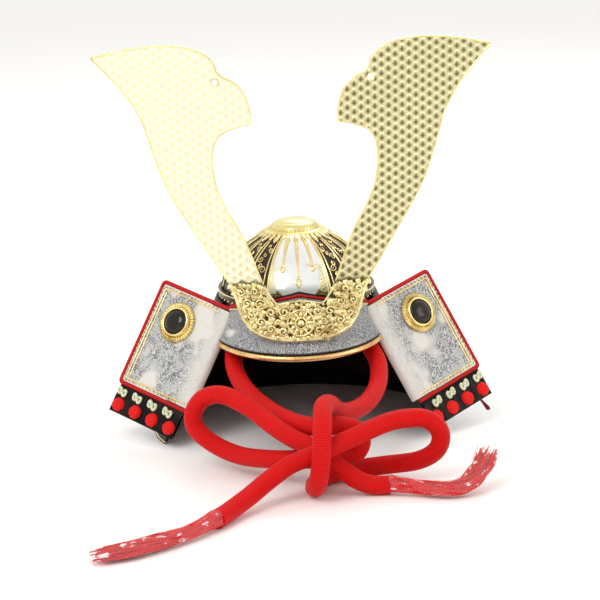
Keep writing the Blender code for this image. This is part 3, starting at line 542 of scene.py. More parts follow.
def leaf(bm, spot_of, length, width, rise, columns=10, rows=6, layer=0):
    """A pointed leaf with a raised middle; spot_of takes along, across and out in millimetres."""
    def place(u, v):
        reach = u * (len(leaf_line) - 1)
        i = min(int(reach), len(leaf_line) - 2)
        half = leaf_line[i].y + (leaf_line[i + 1].y - leaf_line[i].y) * (reach - i)
        across = v * 2 - 1
        lift = rise * (1 - abs(across) ** 1.6) * (0.4 + 0.6 * sin(pi * u))
        return spot_of(u * length, across * half * width / 2, lift)

    wrap(bm, columns, rows, place, layer=layer)


for k in range(LEAF_COUNT):
    spot = 360 * k / LEAF_COUNT
    long = 6.4 if k % 2 else 4.6

    def leaf_spot(along, across, out):
        height = 34.6 - along * 0.62
        return on_bowl(spot + in_degrees(across / (BOWL_HALF.x * bowl_share(height))), height, 1.35 + out)

    leaf(bm, leaf_spot, long, 3.6, 0.55)
piece("crown_leaves", bm, [bright_gilt], "crown_gilt", caps=False)

# Front plate: a polished silvered plate over the bowl's front, framed by double gilt wires. Next
# to the visor its lowest part is painted dark grey-green, a painted reflection of the darker parts
# below it. Three gilt spikes hang down it: the middle one ends in an open lozenge, the others in rings.
silver = Finish("front_silver", Metallic=1.0)
rub = silver.cloud(1.0, place=silver.shifted(silver.where(), Scale=(260.0, 260.0, 24.0)))
blur = silver.cloud(70.0)
_, _, high = silver.split(silver.where())
# Painted reflection: the plate's lowest part next to the visor is darkened towards grey-green, standing in
# for the dark parts it reflects there.
painted_dark_reflection = silver.ease(high + blur * 0.002, 0.1075, 0.1015) * 0.75
plain_silver = silver.blend(silver.ease(blur, 0.4, 0.7), (0.95, 0.95, 0.94), (0.88, 0.89, 0.88))
tone = silver.blend(painted_dark_reflection, plain_silver, (0.26, 0.28, 0.24))
silver.wear(tone, 0.07 + rub * 0.08, blur, 0.1, 0.06)
VISOR_ANGLE = 56.0


def chevron(degrees):
    """Height in millimetres of the visor's top edge above the bowl's base."""
    return 3.5 - 11 * abs(degrees) / VISOR_ANGLE


def there_and_back(v):
    """Goes from 0 to 1 down a board's face, then back to 0 behind it."""
    return v * 2 if v <= 0.5 else 2 - 2 * v


PLATE_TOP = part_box("front_plate")[1][2] / MM - BASE


def front_place(u, v):
    spot = 24.8 * (2 * u - 1)
    low = max(chevron(spot) + 2.4, 0.3)
    proud = 1.5 if v <= 0.5 else 0.6
    if v in (0.0, 0.5, 1.0):
        proud = 1.2
    return on_bowl(spot, low + (PLATE_TOP - low) * there_and_back(v), proud)


bm = bmesh.new()
wrap(bm, 40, 48, front_place)
piece("silver_plate", bm, [silver], "front_silver", ["front_plate"])

bm = bmesh.new()
for side in (-1, 1):
    for edge, size in ((24.6, 0.55), (22.6, 0.38)):
        roll(bm, drawn(on_bowl, (side * edge, 1.0, 1.55), (side * edge, PLATE_TOP, 1.55), 30), size)
piece("front_frame", bm, [bright_gilt], "front_silver")


def outward(spot):
    return Vector((spot.x, spot.y - MIDDLE.y, 0.02)).normalized()


SPIKE_ROUND = 44
for name, degrees in (("centre", 0.0), ("left", -13.5), ("right", 13.5)):
    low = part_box(f"front_spike_{name}")[0][2] / MM - BASE
    top = PLATE_TOP - 0.6

    def hung(start, end, count, proud=2.0):
        """A line straight down the plate between two heights."""
        return drawn(on_bowl, (degrees, start, proud), (degrees, end, proud), count)

    bm = bmesh.new()
    stem = hung(top, low + (7.2 if name == "centre" else 3.4), 24)
    roll(bm, stem, lambda u: 1.35 - 0.8 * u, 10, 0.5, up=outward)
    knob = hung(top - 0.4, top - 3.0, 12, 2.1)
    roll(bm, knob, lambda u: 0.9 + 0.75 * sin(pi * u), 12, 0.6, up=outward)
    if name == "centre":
        corners = [(0, 6.2), (1.9, 3.4), (0, 0.9), (-1.9, 3.4)]
        ring = []
        for start, end in zip(corners, corners[1:] + corners[:1]):
            ring += drawn(lambda *spot: spot, start, end, 8)[:-1]
        roll(bm, hung(low + 1.1, low, 5), lambda u: 0.7 - 0.6 * u)
        roll(bm, hung(low + 7.4, low + 6.0, 6), lambda u: 0.5 + 0.5 * sin(pi * u), 10)
    else:
        ring = [(1.45 * sin(tau * k / 24), 1.9 - 1.45 * cos(tau * k / 24)) for k in range(24)]
    path = [on_bowl(degrees + in_degrees(x / SPIKE_ROUND), low + z, 2.0) for x, z in ring + ring[:1]]
    roll(bm, path, 0.48, closed=True)
    piece(f"spike_{name}", bm, [bright_gilt], "spike_gilt", [f"front_spike_{name}"])

# Waist band: a lacquered hoop round the bowl's base with a gilt bead along both edges
# and small gilt studs between them.
def mottled(name, scale, detail, tones, rough, depth=0.2, strength=0.6, span=None, **flat):
    """A surface of two near tones that drift into each other."""
    paint = Finish(name, **flat)
    drift = paint.cloud(scale, detail)
    tone = paint.blend(paint.ease(drift, *span) if span else drift, *tones)
    paint.wear(tone, rough[0] + drift * rough[1], drift, depth, strength)
    return paint


band_lacquer = mottled(
    "band_lacquer", 60.0, 4.0, ((0.012, 0.009, 0.008), (0.05, 0.028, 0.02)), (0.22, 0.2),
    strength=0.4, span=(0.4, 0.7), Coat_Weight=0.1, Coat_Roughness=0.1, Specular_IOR_Level=0.35,
)
dress("waist_band", band_lacquer)


def oval(half, degrees, height):
    """A point in millimetres on an oval round the helmet's axis; 0 degrees is the front."""
    angle = radians(degrees)
    return at(half.x * sin(angle), -half.y * cos(angle), height)


BAND_OUTER = BOWL_HALF + ONES * 2.1
bm = bmesh.new()
for height in (86.0, 93.9):
    path = [oval(BAND_OUTER + ONES * 0.55, 3 * k, height) for k in range(121)]
    roll(bm, path, 0.55, closed=True)
for k in range(60):
    bead(bm, oval(BAND_OUTER + ONES * 0.1, 6 * k + 3, 90), 0.75)
piece("band_studs", bm, [bright_gilt], "band_lacquer")

# Visor: a curved shade of stiff board covered in printed silver-grey leather. Its lower edge
# is a gilt roll under a thin black line, and a red silk cord edges it along the top.
VISOR_TOP = Vector((52.9, 56.9))
visor_fall = smooth_run([(0, 0), (0.30, 0.10), (0.55, 0.28), (0.78, 0.58), (1, 1)], 6)


def on_visor(degrees, down, out=0.0):
    """A point of the visor's face: down is its share of the way to the rim, out is in millimetres."""
    share = abs(degrees) / VISOR_ANGLE
    place = min(max(down, 0.0), 1.0) * (len(visor_fall) - 1)
    i = min(int(place), len(visor_fall) - 2)
    fall, over = visor_fall[i].lerp(visor_fall[i + 1], place - i)
    reach = 14.5 - 5.0 * share**2
    top, rim = BASE + chevron(degrees), BASE - 30.5 + 3 * share**2
    return oval(VISOR_TOP + ONES * (reach * over + out), degrees, top + (rim - top) * fall)


def leather_finish(name, shift, patchy, lined=0.0, fold=1.0, ground=(0.44, 0.45, 0.44)):
    """Printed leather: smooth pale clouds on a silver-grey ground that is stippled with black."""
    leather = Finish(name, Specular_IOR_Level=0.45, Sheen_Weight=0.1)
    place = leather.shifted(leather.where("UV"), Location=(shift, shift * 0.7, 0))
    broad = leather.cloud(34.0, 2.0, 0.42, place)
    _, over, _ = leather.split(leather.where("UV"))
    rolled = leather.ease(over, fold - 0.006, fold + 0.014) * 0.82
    smooth = leather.ease(broad, patchy - 0.02, patchy + 0.11) | rolled
    drift = leather.cloud(110.0, place=place)
    spots = leather.node("ShaderNodeTexVoronoi", {"Vector": place, "Scale": 1050.0})
    size = leather.ease(drift, 0.3, 0.58) * 0.3 + 0.2
    dots = leather.ease(spots, size + 0.1, size) * (1 - smooth)
    grain = leather.cloud(1500.0, place=place)
    colour = leather.blend(leather.ease(drift, 0.3, 0.7), ground, [0.5 * tone + 0.37 for tone in ground])
    colour = leather.blend(smooth * 0.85, colour, (0.68, 0.65, 0.59))
    edge = leather.ease(broad, patchy - 0.035, patchy - 0.005) * (1 - smooth)
    colour = leather.blend(edge * 0.2, colour, (0.36, 0.36, 0.35))
    dark = dots * 0.85
    if lined:
        run, _, _ = leather.split(place)
        lines = (run * tau * 620).maths("SINE")
        dark = dark | (leather.ease(lines, 0.35, 0.9) * (1 - smooth) * lined)
    colour = leather.blend(dark, colour, (0.055, 0.055, 0.065))
    height = grain + smooth * 0.8 - dots * 0.5
    leather.wear(colour, 0.52 + grain * 0.16 - smooth * 0.1, height, 0.18, 0.5)
    return leather


# Painted shade: the visor's leather gets a darker ground than the panels' leather, standing in for the shadow
# that the crest casts on it.
visor_leather_painted_shade = leather_finish("visor_leather_painted_shade", 0.31, 0.58, 0.6, ground=(0.34, 0.35, 0.35))


def visor_place(u, v):
    return on_visor(VISOR_ANGLE * (2 * u - 1), there_and_back(v), 0.0 if v < 0.5 else -1.8)


bm = bmesh.new()
wrap(bm, 90, 48, visor_place, (0.14, 0.08))
piece("visor_shell", bm, [visor_leather_painted_shade], "printed_leather", ["visor"])

copper_gilt = gilt_finish("rim_gilt", (0.93, 0.62, 0.28), (0.55, 0.27, 0.10), 0.14)
black_thread = mottled(
    "black_thread", 1200.0, 2.0, ((0.01, 0.009, 0.009), (0.05, 0.045, 0.04)), (0.4, 0.25),
)
edging_silk = braid_finish("edging_silk", (0.60, 0.018, 0.016), (0.26, 0.005, 0.005), 1.3)
for name, down, out, lift, radius, sides, finish, slot, node in (
    ("visor_roll", 1.0, -0.9, -2.2, 1.9, 16, copper_gilt, "rim_gilt", ["visor_rim"]),
    ("visor_black_line", 0.97, 0.1, 0, 0.4, 8, black_thread, "edging_silk", []),
    ("visor_cord", 0.0, -0.9, 1.2, 0.95, 12, edging_silk, "edging_silk", ["visor_edging"]),
    ("visor_gold_line", 0.035, 0.2, 0, 0.4, 6, bright_gilt, "edging_silk", []),
):
    raised = Vector((0, 0, lift * MM))
    bm = bmesh.new()
    roll(bm, [on_visor(VISOR_ANGLE * (k / 60 - 1), down, out) + raised for k in range(121)], radius, sides)
    piece(name, bm, [finish], slot, node)

# Crest base: a cast gilt plate bent round the visor. Leaves and curls in relief fill it round
# a flower of twelve petals between two rings, and a smooth raised rim closes its outer edge.
CREST_OUTLINE = [
    (0, 0), (0.2, 0.004), (0.4, 0.036), (0.57, 0.1), (0.7, 0.19), (0.8, 0.33),
    (0.86, 0.48), (0.905, 0.65), (0.955, 0.85), (1, 0.985), (0.76, 1), (0.5, 0.985),
    (0.45, 0.86), (0.385, 0.75), (0.31, 0.665), (0.16, 0.695), (0, 0.715),
]
CREST_HALF, CREST_TALL, CREST_FOOT, CREST_BEND = 44, 37.5, BASE - 22.7, 320
crest_back = (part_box("crest_base")[1][1] - MIDDLE.y) / MM - CREST_HALF**2 / CREST_BEND


def on_crest(x, up, out=0.0):
    """A point in front of the crest base's back, all in millimetres; up is above its foot."""
    return at(x, crest_back + x * x / CREST_BEND - out, CREST_FOOT + up)


def mirrored(line):
    return [Vector((-spot.x, spot.y)) for spot in line]


def thicken(bm, deep):
    """Gives a flat upright sheet its thickness, in millimetres towards the back."""
    grown = bmesh.ops.extrude_face_region(bm, geom=bm.faces[:])["geom"]
    moved = [item for item in grown if isinstance(item, bmesh.types.BMVert)]
    bmesh.ops.translate(bm, verts=moved, vec=(0, deep, 0))


# Painted shade: the plate's ground between the reliefs is a darker gilt with near-black pits, standing in for
# shade in the recesses; the reliefs take the brighter cast gilt.
shaded_cast_ground = Finish("cast_gilt_ground_painted_shade", Metallic=1.0)
pits = shaded_cast_ground.cloud(330.0, 2.5)
painted_pit_shade = shaded_cast_ground.ease(pits, 0.47, 0.57)
tone = shaded_cast_ground.blend(painted_pit_shade, (0.66, 0.56, 0.26), (0.07, 0.05, 0.018))
shaded_cast_ground.wear(tone, 0.28 + painted_pit_shade * 0.25, 1 - painted_pit_shade, 0.6, 0.8)
cast_bright = gilt_finish("cast_gilt", (0.93, 0.85, 0.47), (0.56, 0.45, 0.17), 0.18, 0.22)
crest_rows = [(CREST_HALF * across, CREST_TALL * up) for across, up in CREST_OUTLINE]
outer = smooth_run(crest_rows[:10], 4)
inner = smooth_run(crest_rows[10:12], 2) + smooth_run(crest_rows[12:], 4)
right_half = outer + inner
bm = bmesh.new()
edge = right_half + mirrored(right_half[-2:0:-1])
bm.faces.new([bm.verts.new((spot.x, 0, spot.y)) for spot in edge])
for k in range(-20, 21):
    whole = bm.verts[:] + bm.edges[:] + bm.faces[:]
    bmesh.ops.bisect_plane(bm, geom=whole, dist=1e-4, plane_co=(2.15 * k, 0, 0), plane_no=(1, 0, 0))
thicken(bm, -1.6)
for vert in bm.verts:
    vert.co = on_crest(vert.co.x, vert.co.z, -vert.co.y)
for face in bm.faces:
    face.smooth = True
both = mirrored(outer[:0:-1]) + outer
rim = [on_crest(spot.x * 0.965, spot.y * 0.965 + 1.125, 1.7) for spot in both]
roll(bm, evenly(rim, 0.9), 1.15, 14, 0.9, 1, up=Vector((0, -1, 0)))
inner_line = [on_crest(spot.x * 0.925, spot.y * 0.925 + 2.4375, 1.6) for spot in both]
roll(bm, evenly(inner_line, 0.8), 0.42, layer=1)
hollow = [on_crest(spot.x, spot.y - 0.45, 1.6) for spot in mirrored(inner[2:]) + inner[-2:1:-1]]
roll(bm, evenly(hollow, 0.8), 0.55, layer=1)


def circle(radius, count):
    """Points of a flat circle, with the first one again at the end."""
    return [Vector((cos(tau * k / count), sin(tau * k / count))) * radius for k in range(count + 1)]


def crest_leaf(x, z, turn, length, width, rise, out=1.5):
    """One relief leaf that grows from a point of the plate, given in millimetres."""
    ahead = Vector((cos(turn), sin(turn)))

    def spot_of(along, across, up):
        spot = Vector((x, z)) + ahead * along + Vector((-ahead.y, ahead.x)) * across
        return on_crest(spot.x, spot.y, out + up)

    leaf(bm, spot_of, length, width, rise, 8, 6, 1)


FLOWER = 0.33 * CREST_TALL
for k in range(12):
    turn = tau * k / 12
    crest_leaf(3.5 * cos(turn), FLOWER + 3.5 * sin(turn), turn, 4.7, 2.5, 1.1, 1.9)
for radius, thick, out in ((8.3, 0.75, 2.0), (3.5, 0.6, 2.9)):
    path = [on_crest(spot.x, FLOWER + spot.y, out) for spot in circle(radius, 48)]
    roll(bm, path, thick, 10, closed=True, layer=1)
bead(bm, on_crest(0, FLOWER, 2.0), 2.5, 20, 12, 1)
CURLS = [
    (0.235, 0.53, 3.5, 1), (0.25, 0.20, 3.3, -1), (0.42, 0.52, 3.4, -1), (0.425, 0.235, 3.2, 1),
    (0.565, 0.36, 3.1, 1), (0.575, 0.67, 3.3, 1), (0.70, 0.47, 2.9, -1), (0.755, 0.68, 3.0, 1),
    (0.64, 0.88, 2.9, -1), (0.835, 0.87, 3.0, -1), (0.11, 0.62, 2.0, 1), (0.10, 0.07, 1.8, 1),
    (0.33, 0.37, 2.4, 1), (0.33, 0.09, 2.1, -1), (0.50, 0.17, 2.1, 1), (0.66, 0.29, 2.0, -1),
    (0.79, 0.54, 2.1, 1), (0.93, 0.93, 2.2, 1), (0.53, 0.93, 2.0, 1), (0.50, 0.64, 2.0, -1),
    (0.65, 0.575, 1.9, 1), (0.72, 0.97, 2.0, -1),
]
carver = random.Random(7)
for side in (-1, 1):
    for across, up, size, hand in CURLS:
        x, z = side * CREST_HALF * across, CREST_TALL * up
        start = carver.uniform(0, tau)
        bold = size > 2.5
        curl = spiral(1.35, size * (0.9 if bold else 0.72), start * side, side * hand, 24)
        path = [on_crest(x + spot.x, z + spot.y, 3.1 - 0.6 * k / 23) for k, spot in enumerate(curl)]
        roll(bm, path, lambda u: 0.46 + 0.42 * sin(pi * (0.15 + 0.8 * u)), layer=1)
        leaves, reach = 4 if bold else 2, size * 0.7
        for k in range(leaves):
            turn = tau * (k + carver.uniform(-0.2, 0.2)) / leaves
            crest_leaf(x + reach * cos(turn), z + reach * sin(turn), turn + side * hand * 0.5,
                       size * carver.uniform(1.3, 1.6), 3.9, 1.0)
piece("crest_plate", bm, [shaded_cast_ground, cast_bright], "crest_gilt", ["crest_base"])

# Horns: two tall plates of thin gilt sheet, stamped all over with a fine basket weave.
# Each is cut to a hooked top with a small hole, and its root slides in behind the crest base.
HORN_OUTER = [
    (0.208, 0), (0.342, 0.147), (0.495, 0.314), (0.564, 0.401), (0.614, 0.49), (0.649, 0.567),
    (0.675, 0.631), (0.703, 0.692), (0.75, 0.756), (0.809, 0.814), (0.886, 0.875), (1, 0.958),
]
HORN_TOP = [
    (1, 0.958), (0.792, 0.987), (0.624, 1), (0.485, 0.999), (0.361, 0.983), (0.287, 0.958),
    (0.241, 0.927), (0.228, 0.895),
]
HORN_HOOK = [
    (0.228, 0.895), (0.19, 0.87), (0.115, 0.844), (0.061, 0.8), (0.036, 0.747), (0.026, 0.712),
    (0.028, 0.673),
]
HORN_INNER = [
    (0.028, 0.673), (0.089, 0.667), (0.198, 0.641), (0.25, 0.606), (0.272, 0.562), (0.277, 0.49),
    (0.257, 0.404), (0.204, 0.317), (0.132, 0.231), (0.074, 0.141), (0, 0),
]
HORN_ROOT, HORN_MIDDLE, HORN_WIDE, HORN_TALL, HORN_FOOT = 23, 33.5, 99, 152, 109.8
HORN_SPLAY, HORN_LEAN = radians(8), radians(5)


def horn_finish(name, face, hollow):
    """Stamped gilt: a basket weave of raised strands with staggered pits between them; the pits are tinted
    with painted shade and the strands carry painted highlights.
    """
    gilt = Finish(name, Metallic=1.0)
    across, upwards, _ = gilt.split(gilt.where("UV"))
    column = across / 0.0043
    odd = column.maths("FLOORED_MODULO", 2.0) > 1.0
    aside = column.maths("FRACT") - 0.5
    rise = (upwards / 0.0058 + odd * 0.5).maths("FRACT") - 0.5
    wide, high = aside.maths("ABSOLUTE"), rise.maths("ABSOLUTE")
    pit = gilt.ease(wide * 0.95 + high - rise * 0.2, 0.58, 0.14)
    patina = gilt.cloud(38.0, 4.0)
    twill = ((across + upwards) * (tau / 0.00115)).maths("SINE")
    # Painted light: bright spots of painted highlight on the strands between the pits, and the hollow colour
    # in the pits as painted shade.
    dull = [0.64 * light + 0.36 * dark for light, dark in zip(face, hollow)]
    painted_highlight = gilt.ease(high - wide * 0.8 + patina * 0.24, 0.2, 0.5)
    face_tone = gilt.blend(painted_highlight, dull, face)
    colour = gilt.blend(pit * 0.96, face_tone, hollow)
    gilt.wear(colour, 0.30 + pit * 0.15 + patina * 0.08, twill * 0.06 - pit - wide * 0.5, 0.45, 0.65)
    return gilt


# The left horn's copy is paler all over, its pits nearly as light as its strands: painted light from the key
# lamp on the left. The right horn's dark pits are painted shade.
horn_finishes = {
    "left": horn_finish("horn_gilt_left_painted_light", (0.98, 0.96, 0.76), (0.86, 0.81, 0.54)),
    "right": horn_finish("horn_gilt_right", (0.95, 0.89, 0.55), (0.20, 0.165, 0.06)),
}
horn_line = []
for run in (HORN_OUTER, HORN_TOP, HORN_HOOK, HORN_INNER):
    horn_line += smooth_run(run, 8)[:-1]
horn_line = [Vector((HORN_ROOT + HORN_WIDE * spot.x, HORN_TALL * spot.y)) for spot in horn_line]
horn_edge = horn_line + [Vector((HORN_ROOT, 0))]
horn_line = horn_edge + [Vector((HORN_ROOT, -6)), Vector((horn_edge[0].x - 3, -6))]
horn_behind = crest_back + 0.3 + max(
    x * x / CREST_BEND - (x - HORN_MIDDLE) * tan(HORN_SPLAY) for x in (HORN_ROOT, CREST_HALF)
)
HOLE = Vector((HORN_ROOT + HORN_WIDE * 0.235, HORN_TALL * 0.850))
SIDES = (("left", -1), ("right", 1))
for name, side in SIDES:
    turned = Matrix.Rotation(side * HORN_SPLAY, 4, "Z") @ Matrix.Rotation(HORN_LEAN, 4, "X")
    seat = Matrix.Translation((side * HORN_MIDDLE, horn_behind, HORN_FOOT)) @ turned

    def on_horn(spot, deep):
        return at(*(seat @ Vector((side * (spot.x - HORN_MIDDLE), deep, spot.y))))

    bm = bmesh.new()
    loops = [horn_line, [HOLE + spot for spot in circle(2.1, 20)[:-1]]]
    edges = []
    for line in loops:
        dots = [bm.verts.new((side * (spot.x - HORN_MIDDLE), 0, spot.y)) for spot in line]
        edges += [bm.edges.new(pair) for pair in zip(dots, dots[1:] + dots[:1])]
    bmesh.ops.triangle_fill(bm, edges=edges, use_beauty=True, normal=(0, -1, 0))
    thicken(bm, 1.2)
    uv = bm.loops.layers.uv.verify()
    for face in bm.faces:
        for corner in face.loops:
            corner[uv].uv = (corner.vert.co.x * MM, corner.vert.co.z * MM)
    for vert in bm.verts:
        vert.co = at(*(seat @ vert.co))
    roll(bm, evenly([on_horn(spot, 0.3) for spot in horn_edge], 1.5), 0.62, layer=1)
    ring = [on_horn(HOLE + spot, -0.05) for spot in circle(2.3, 24)]
    roll(bm, ring, 0.4, 6, closed=True, layer=1)
    piece(f"horn_plate_{name}", bm, [horn_finishes[name], pale_gilt], "horn_gilt", [f"horn_{name}"])

# Neck guard: four flaring rows of lacquered scales, each row hung outside the one above by
# loops of red silk lacing, with a gilt wire along its lower edge.
scale_lacquer = Finish("scale_lacquer", Coat_Weight=0.03, Coat_Roughness=0.1, Specular_IOR_Level=0.1)
worn = scale_lacquer.cloud(55.0, 4.0)
tone = scale_lacquer.ease(worn, 0.4, 0.72)
tone = scale_lacquer.blend(tone, (0.004, 0.003, 0.003), (0.020, 0.012, 0.009))
height = worn + scale_lacquer.cloud(500.0, 2.0) * 0.3
scale_lacquer.wear(tone, 0.2 + worn * 0.22, height, 0.2, 0.4)
lacing_silk = braid_finish("lacing_silk", (0.66, 0.014, 0.014), (0.28, 0.004, 0.004), 1.1)
NECK_FIRST, NECK_TURN, NECK_TOP = 68.0, 224.0, 89
NECK_HALF = Vector((52, 56))
NECK_SLOPE = Vector((37.7, 33.7)) / NECK_TOP


def on_neck(plate, degrees, height, out=0.0):
    """A point of a plate's face at a height above the floor; plate 0 is the top one."""
    half = NECK_HALF + NECK_SLOPE * (NECK_TOP - height) + ONES * (plate * 2.1 + out)
    return oval(half, degrees, height)


SCALES = 56
for plate in range(4):
    top = NECK_TOP - plate * 20.675
    bottom = top - 26.975 if plate < 3 else 0.0

    def neck_place(u, v):
        spot = NECK_FIRST + NECK_TURN * u
        down = there_and_back(v)
        scale = abs(sin(pi * SCALES * u)) ** 0.6
        out = 0.38 * scale - 0.1 if v <= 0.5 else -1.6
        lift = 0.0 if plate == 3 or down < 1 else 0.5 * (1 - scale)
        return on_neck(plate, spot, top + (bottom - top) * down + lift, out)

    bm = bmesh.new()
    wrap(bm, SCALES * 5, 12, neck_place)
    low = bottom + 1.2
    last = NECK_FIRST + NECK_TURN
    wire = drawn(on_neck, (plate, NECK_FIRST, low, 0.35), (plate, last, low, 0.35), 150)
    roll(bm, wire, 0.42, 6, layer=1)
    if plate:
        for k in range(SCALES):
            spot = NECK_FIRST + NECK_TURN * (k + 0.5) / SCALES
            loop = [
                on_neck(plate - 1, spot, top + 6.0, 0.3), on_neck(plate - 1, spot, top + 4.5, 1.0),
                on_neck(plate, spot, top + 1.0, 0.7), on_neck(plate, spot, top - 1.0, 1.0),
                on_neck(plate, spot, top - 3.5, 0.9), on_neck(plate, spot, top - 5.5, 0.2),
            ]
            roll(bm, smooth_run(loop, 2), 0.85, 7, layer=2)
    piece(f"scale_row_{plate + 1}", bm, [scale_lacquer, bright_gilt, lacing_silk], "neck_lacquer",
          [f"neck_plate_{plate + 1}"])

# Turned-back panels: the front ends of the neck guard, folded outwards. Each is a stiff board
# in printed leather with a rolled inner fold, edged with red cord inside a stitched gold line.
PANEL_TURNS = (-26.6, -14.1, 33.8)
PANEL_WIDE, PANEL_TALL, FOLD, EDGE = 57.5, 67.5, 3.4, 1.75
PANEL_FLAT = PANEL_WIDE - FOLD


def panel_seat(side):
    tilt, rolled, turn = (radians(angle) for angle in PANEL_TURNS)
    spin = Euler((tilt, side * rolled, side * turn), "YXZ").to_matrix()
    end = (on_neck(0, side * NECK_FIRST, 85) - at(0, 0, 0)) / MM
    return end - spin @ Vector((side * 12.1, 3.8, 0)), spin


def on_panel(side, across, deep, up):
    """A point in a panel's own millimetres, measured from its fold, its face and its top."""
    start, spin = panel_seat(side)
    return at(*(start + spin @ Vector((side * across, deep, up))))


panel_shape = [(PANEL_WIDE - PANEL_FLAT * k / 30, 0.0) for k in range(31)]
panel_shape += [(FOLD - FOLD * sin(pi * k / 14), FOLD - FOLD * cos(pi * k / 14)) for k in range(1, 15)]
panel_shape += [(6, 6.8), (8.5, 6.8), (10.9, 6.6), (10.9, 4.6), (8.5, 4.4), (6, 4.4)]
panel_shape += [(FOLD - sin(pi * k / 6), FOLD + cos(pi * k / 6)) for k in range(7)]
panel_shape += [(FOLD + PANEL_FLAT * k / 10, 2.4) for k in range(1, 11)]
quarter = [pi / 2 * k / 5 for k in range(6)]
gold_thread = gilt_finish("gold_thread", (0.98, 0.84, 0.46), (0.72, 0.50, 0.18), 0.3)
for name, side in SIDES:
    panel_leather = leather_finish(f"panel_leather_{name}", 0.2 if side < 0 else 0.83, 0.515, fold=0.053)
    count = len(panel_shape)

    def panel_place(u, v):
        across, deep = panel_shape[round(v * count) % count]
        swell = 0.35 * sin(pi * u) * sin(pi * min(across / PANEL_WIDE, 1)) if deep == 0 else 0
        return on_panel(side, across, deep - swell, -PANEL_TALL * u)

    bm = bmesh.new()
    wrap(bm, 48, count, panel_place, (0.0675, 0.16))
    piece(f"panel_board_{name}", bm, [panel_leather], "printed_leather", [f"turned_panel_{name}"])
    line = [(9 + 46 * k / 6, EDGE) for k in range(7)]
    line += [(PANEL_WIDE + EDGE * sin(a), EDGE * cos(a)) for a in quarter]
    line += [(PANEL_WIDE + EDGE, -10.0 - 11 * k) for k in range(6)]
    line += [(PANEL_WIDE + EDGE * cos(a), -PANEL_TALL - EDGE * sin(a)) for a in quarter]
    line += [(48 - 11 * k, -PANEL_TALL - EDGE) for k in range(5)] + [(FOLD, -PANEL_TALL - EDGE)]
    path = [on_panel(side, across, 1.2, up) for across, up in line]
    lead = smooth_run([oval(BAND_OUTER + ONES * 1.9, side * 48, 89.0), on_panel(side, -2.5, 1.0, 3.4),
                       on_panel(side, 4, 1.2, 2.1), path[0]], 6)
    bm = bmesh.new()
    roll(bm, evenly(lead[:-1] + path, 0.9), 1.45, 14)
    piece(f"panel_cord_{name}", bm, [edging_silk], "edging_silk", [f"panel_trim_{name}"])
    bm = bmesh.new()
    for inset in (2.3, 4.4):
        far, foot = PANEL_WIDE - inset, inset - PANEL_TALL
        corner = [(9, -inset), (far, -inset), (far, foot), (4.5, foot)]
        if inset > 4:
            corner = corner[1:3]
        for (x0, z0), (x1, z1) in zip(corner, corner[1:]):
            roll(bm, drawn(on_panel, (side, x0, -0.35, z0), (side, x1, -0.35, z1), 30), 0.42, 6)
    rows = ((-0.2, -1.8), (-67.3, -65.7))
    stitches = [(12 + 3.1 * k, up, 13.2 + 3.1 * k, end) for k in range(15) for up, end in rows]
    stitches += [(57.3, -3.5 - 3.2 * k, 55.6, -4.7 - 3.2 * k) for k in range(20)]
    for x, up, far, end in stitches:
        roll(bm, [on_panel(side, x, -0.2, up), on_panel(side, far, -0.3, end)], 0.4, 6)
    piece(f"panel_stitches_{name}", bm, [gold_thread], "edging_silk")

# Bosses: a gilt ring of narrow petals round a polished bezel that holds a dark glass dome.
# One is pinned through each panel, high on its outer half.
polished_gilt = gilt_finish("polished_gilt", (0.98, 0.84, 0.42), (0.80, 0.60, 0.22), 0.05, 0.1)
ring_gilt = gilt_finish("ring_gilt", (0.80, 0.66, 0.30), (0.38, 0.27, 0.09), 0.2, 0.7)
dome_glass = mottled(
    "dome_glass", 120.0, 3.0, ((0.007, 0.006, 0.003), (0.026, 0.016, 0.008)), (0.05, 0.06),
    0.15, 0.15, (0.4, 0.7), Coat_Weight=0.1, Coat_Roughness=0.03, Specular_IOR_Level=0.3,
)
RING = [
    (7.35, 0.2), (12.9, 0.0), (13.4, 0.3), (13.5, 0.8), (13.1, 1.3), (12.4, 1.75), (11.6, 1.95),
    (10.8, 1.85), (10.2, 1.5), (9.9, 1.35),
]
BEZEL = [
    (9.9, 0.5), (10.0, 1.6), (9.9, 2.6), (9.6, 3.4), (9.2, 3.9), (8.8, 3.95), (8.4, 3.7),
    (8.1, 3.1), (8.0, 0.4),
]
DOME = [
    (8.1, 0.1), (8.1, 2.2), (7.8, 3.0), (7.1, 3.8), (6.0, 4.5), (4.5, 5.0), (2.8, 5.25),
    (1.2, 5.3), (0, 5.3),
]
PETALS = 38
BOSS = (35.5, -19.5)
for name, side in SIDES:
    for part, profile, finish, slot, petal in (
        ("petals", RING, ring_gilt, "boss_gilt", 1), ("bezel", BEZEL, polished_gilt, "boss_gilt", 0),
        ("dome", DOME, dome_glass, "boss_stone", 0),
    ):
        def boss_place(u, v):
            radius, height = profile[round(v * (len(profile) - 1))]
            wave = abs(sin(pi * PETALS * u)) ** 0.7 * petal
            if petal and radius > 10:
                radius -= 0.4 * (1 - wave) * (radius - 10) / 3.5
                height += 0.4 * wave * (height > 0.3)
            angle = tau * u
            x, up = BOSS[0] + radius * cos(angle), BOSS[1] + radius * sin(angle)
            return on_panel(side, x, -0.3 - height, up)

        bm = bmesh.new()
        wrap(bm, PETALS * 6, len(profile) - 1, boss_place)
        node = {"petals": [f"boss_ring_{name}"], "dome": [f"boss_dome_{name}"]}.get(part, [])
        piece(f"boss_{part}_{name}", bm, [finish], slot, node, caps=False)

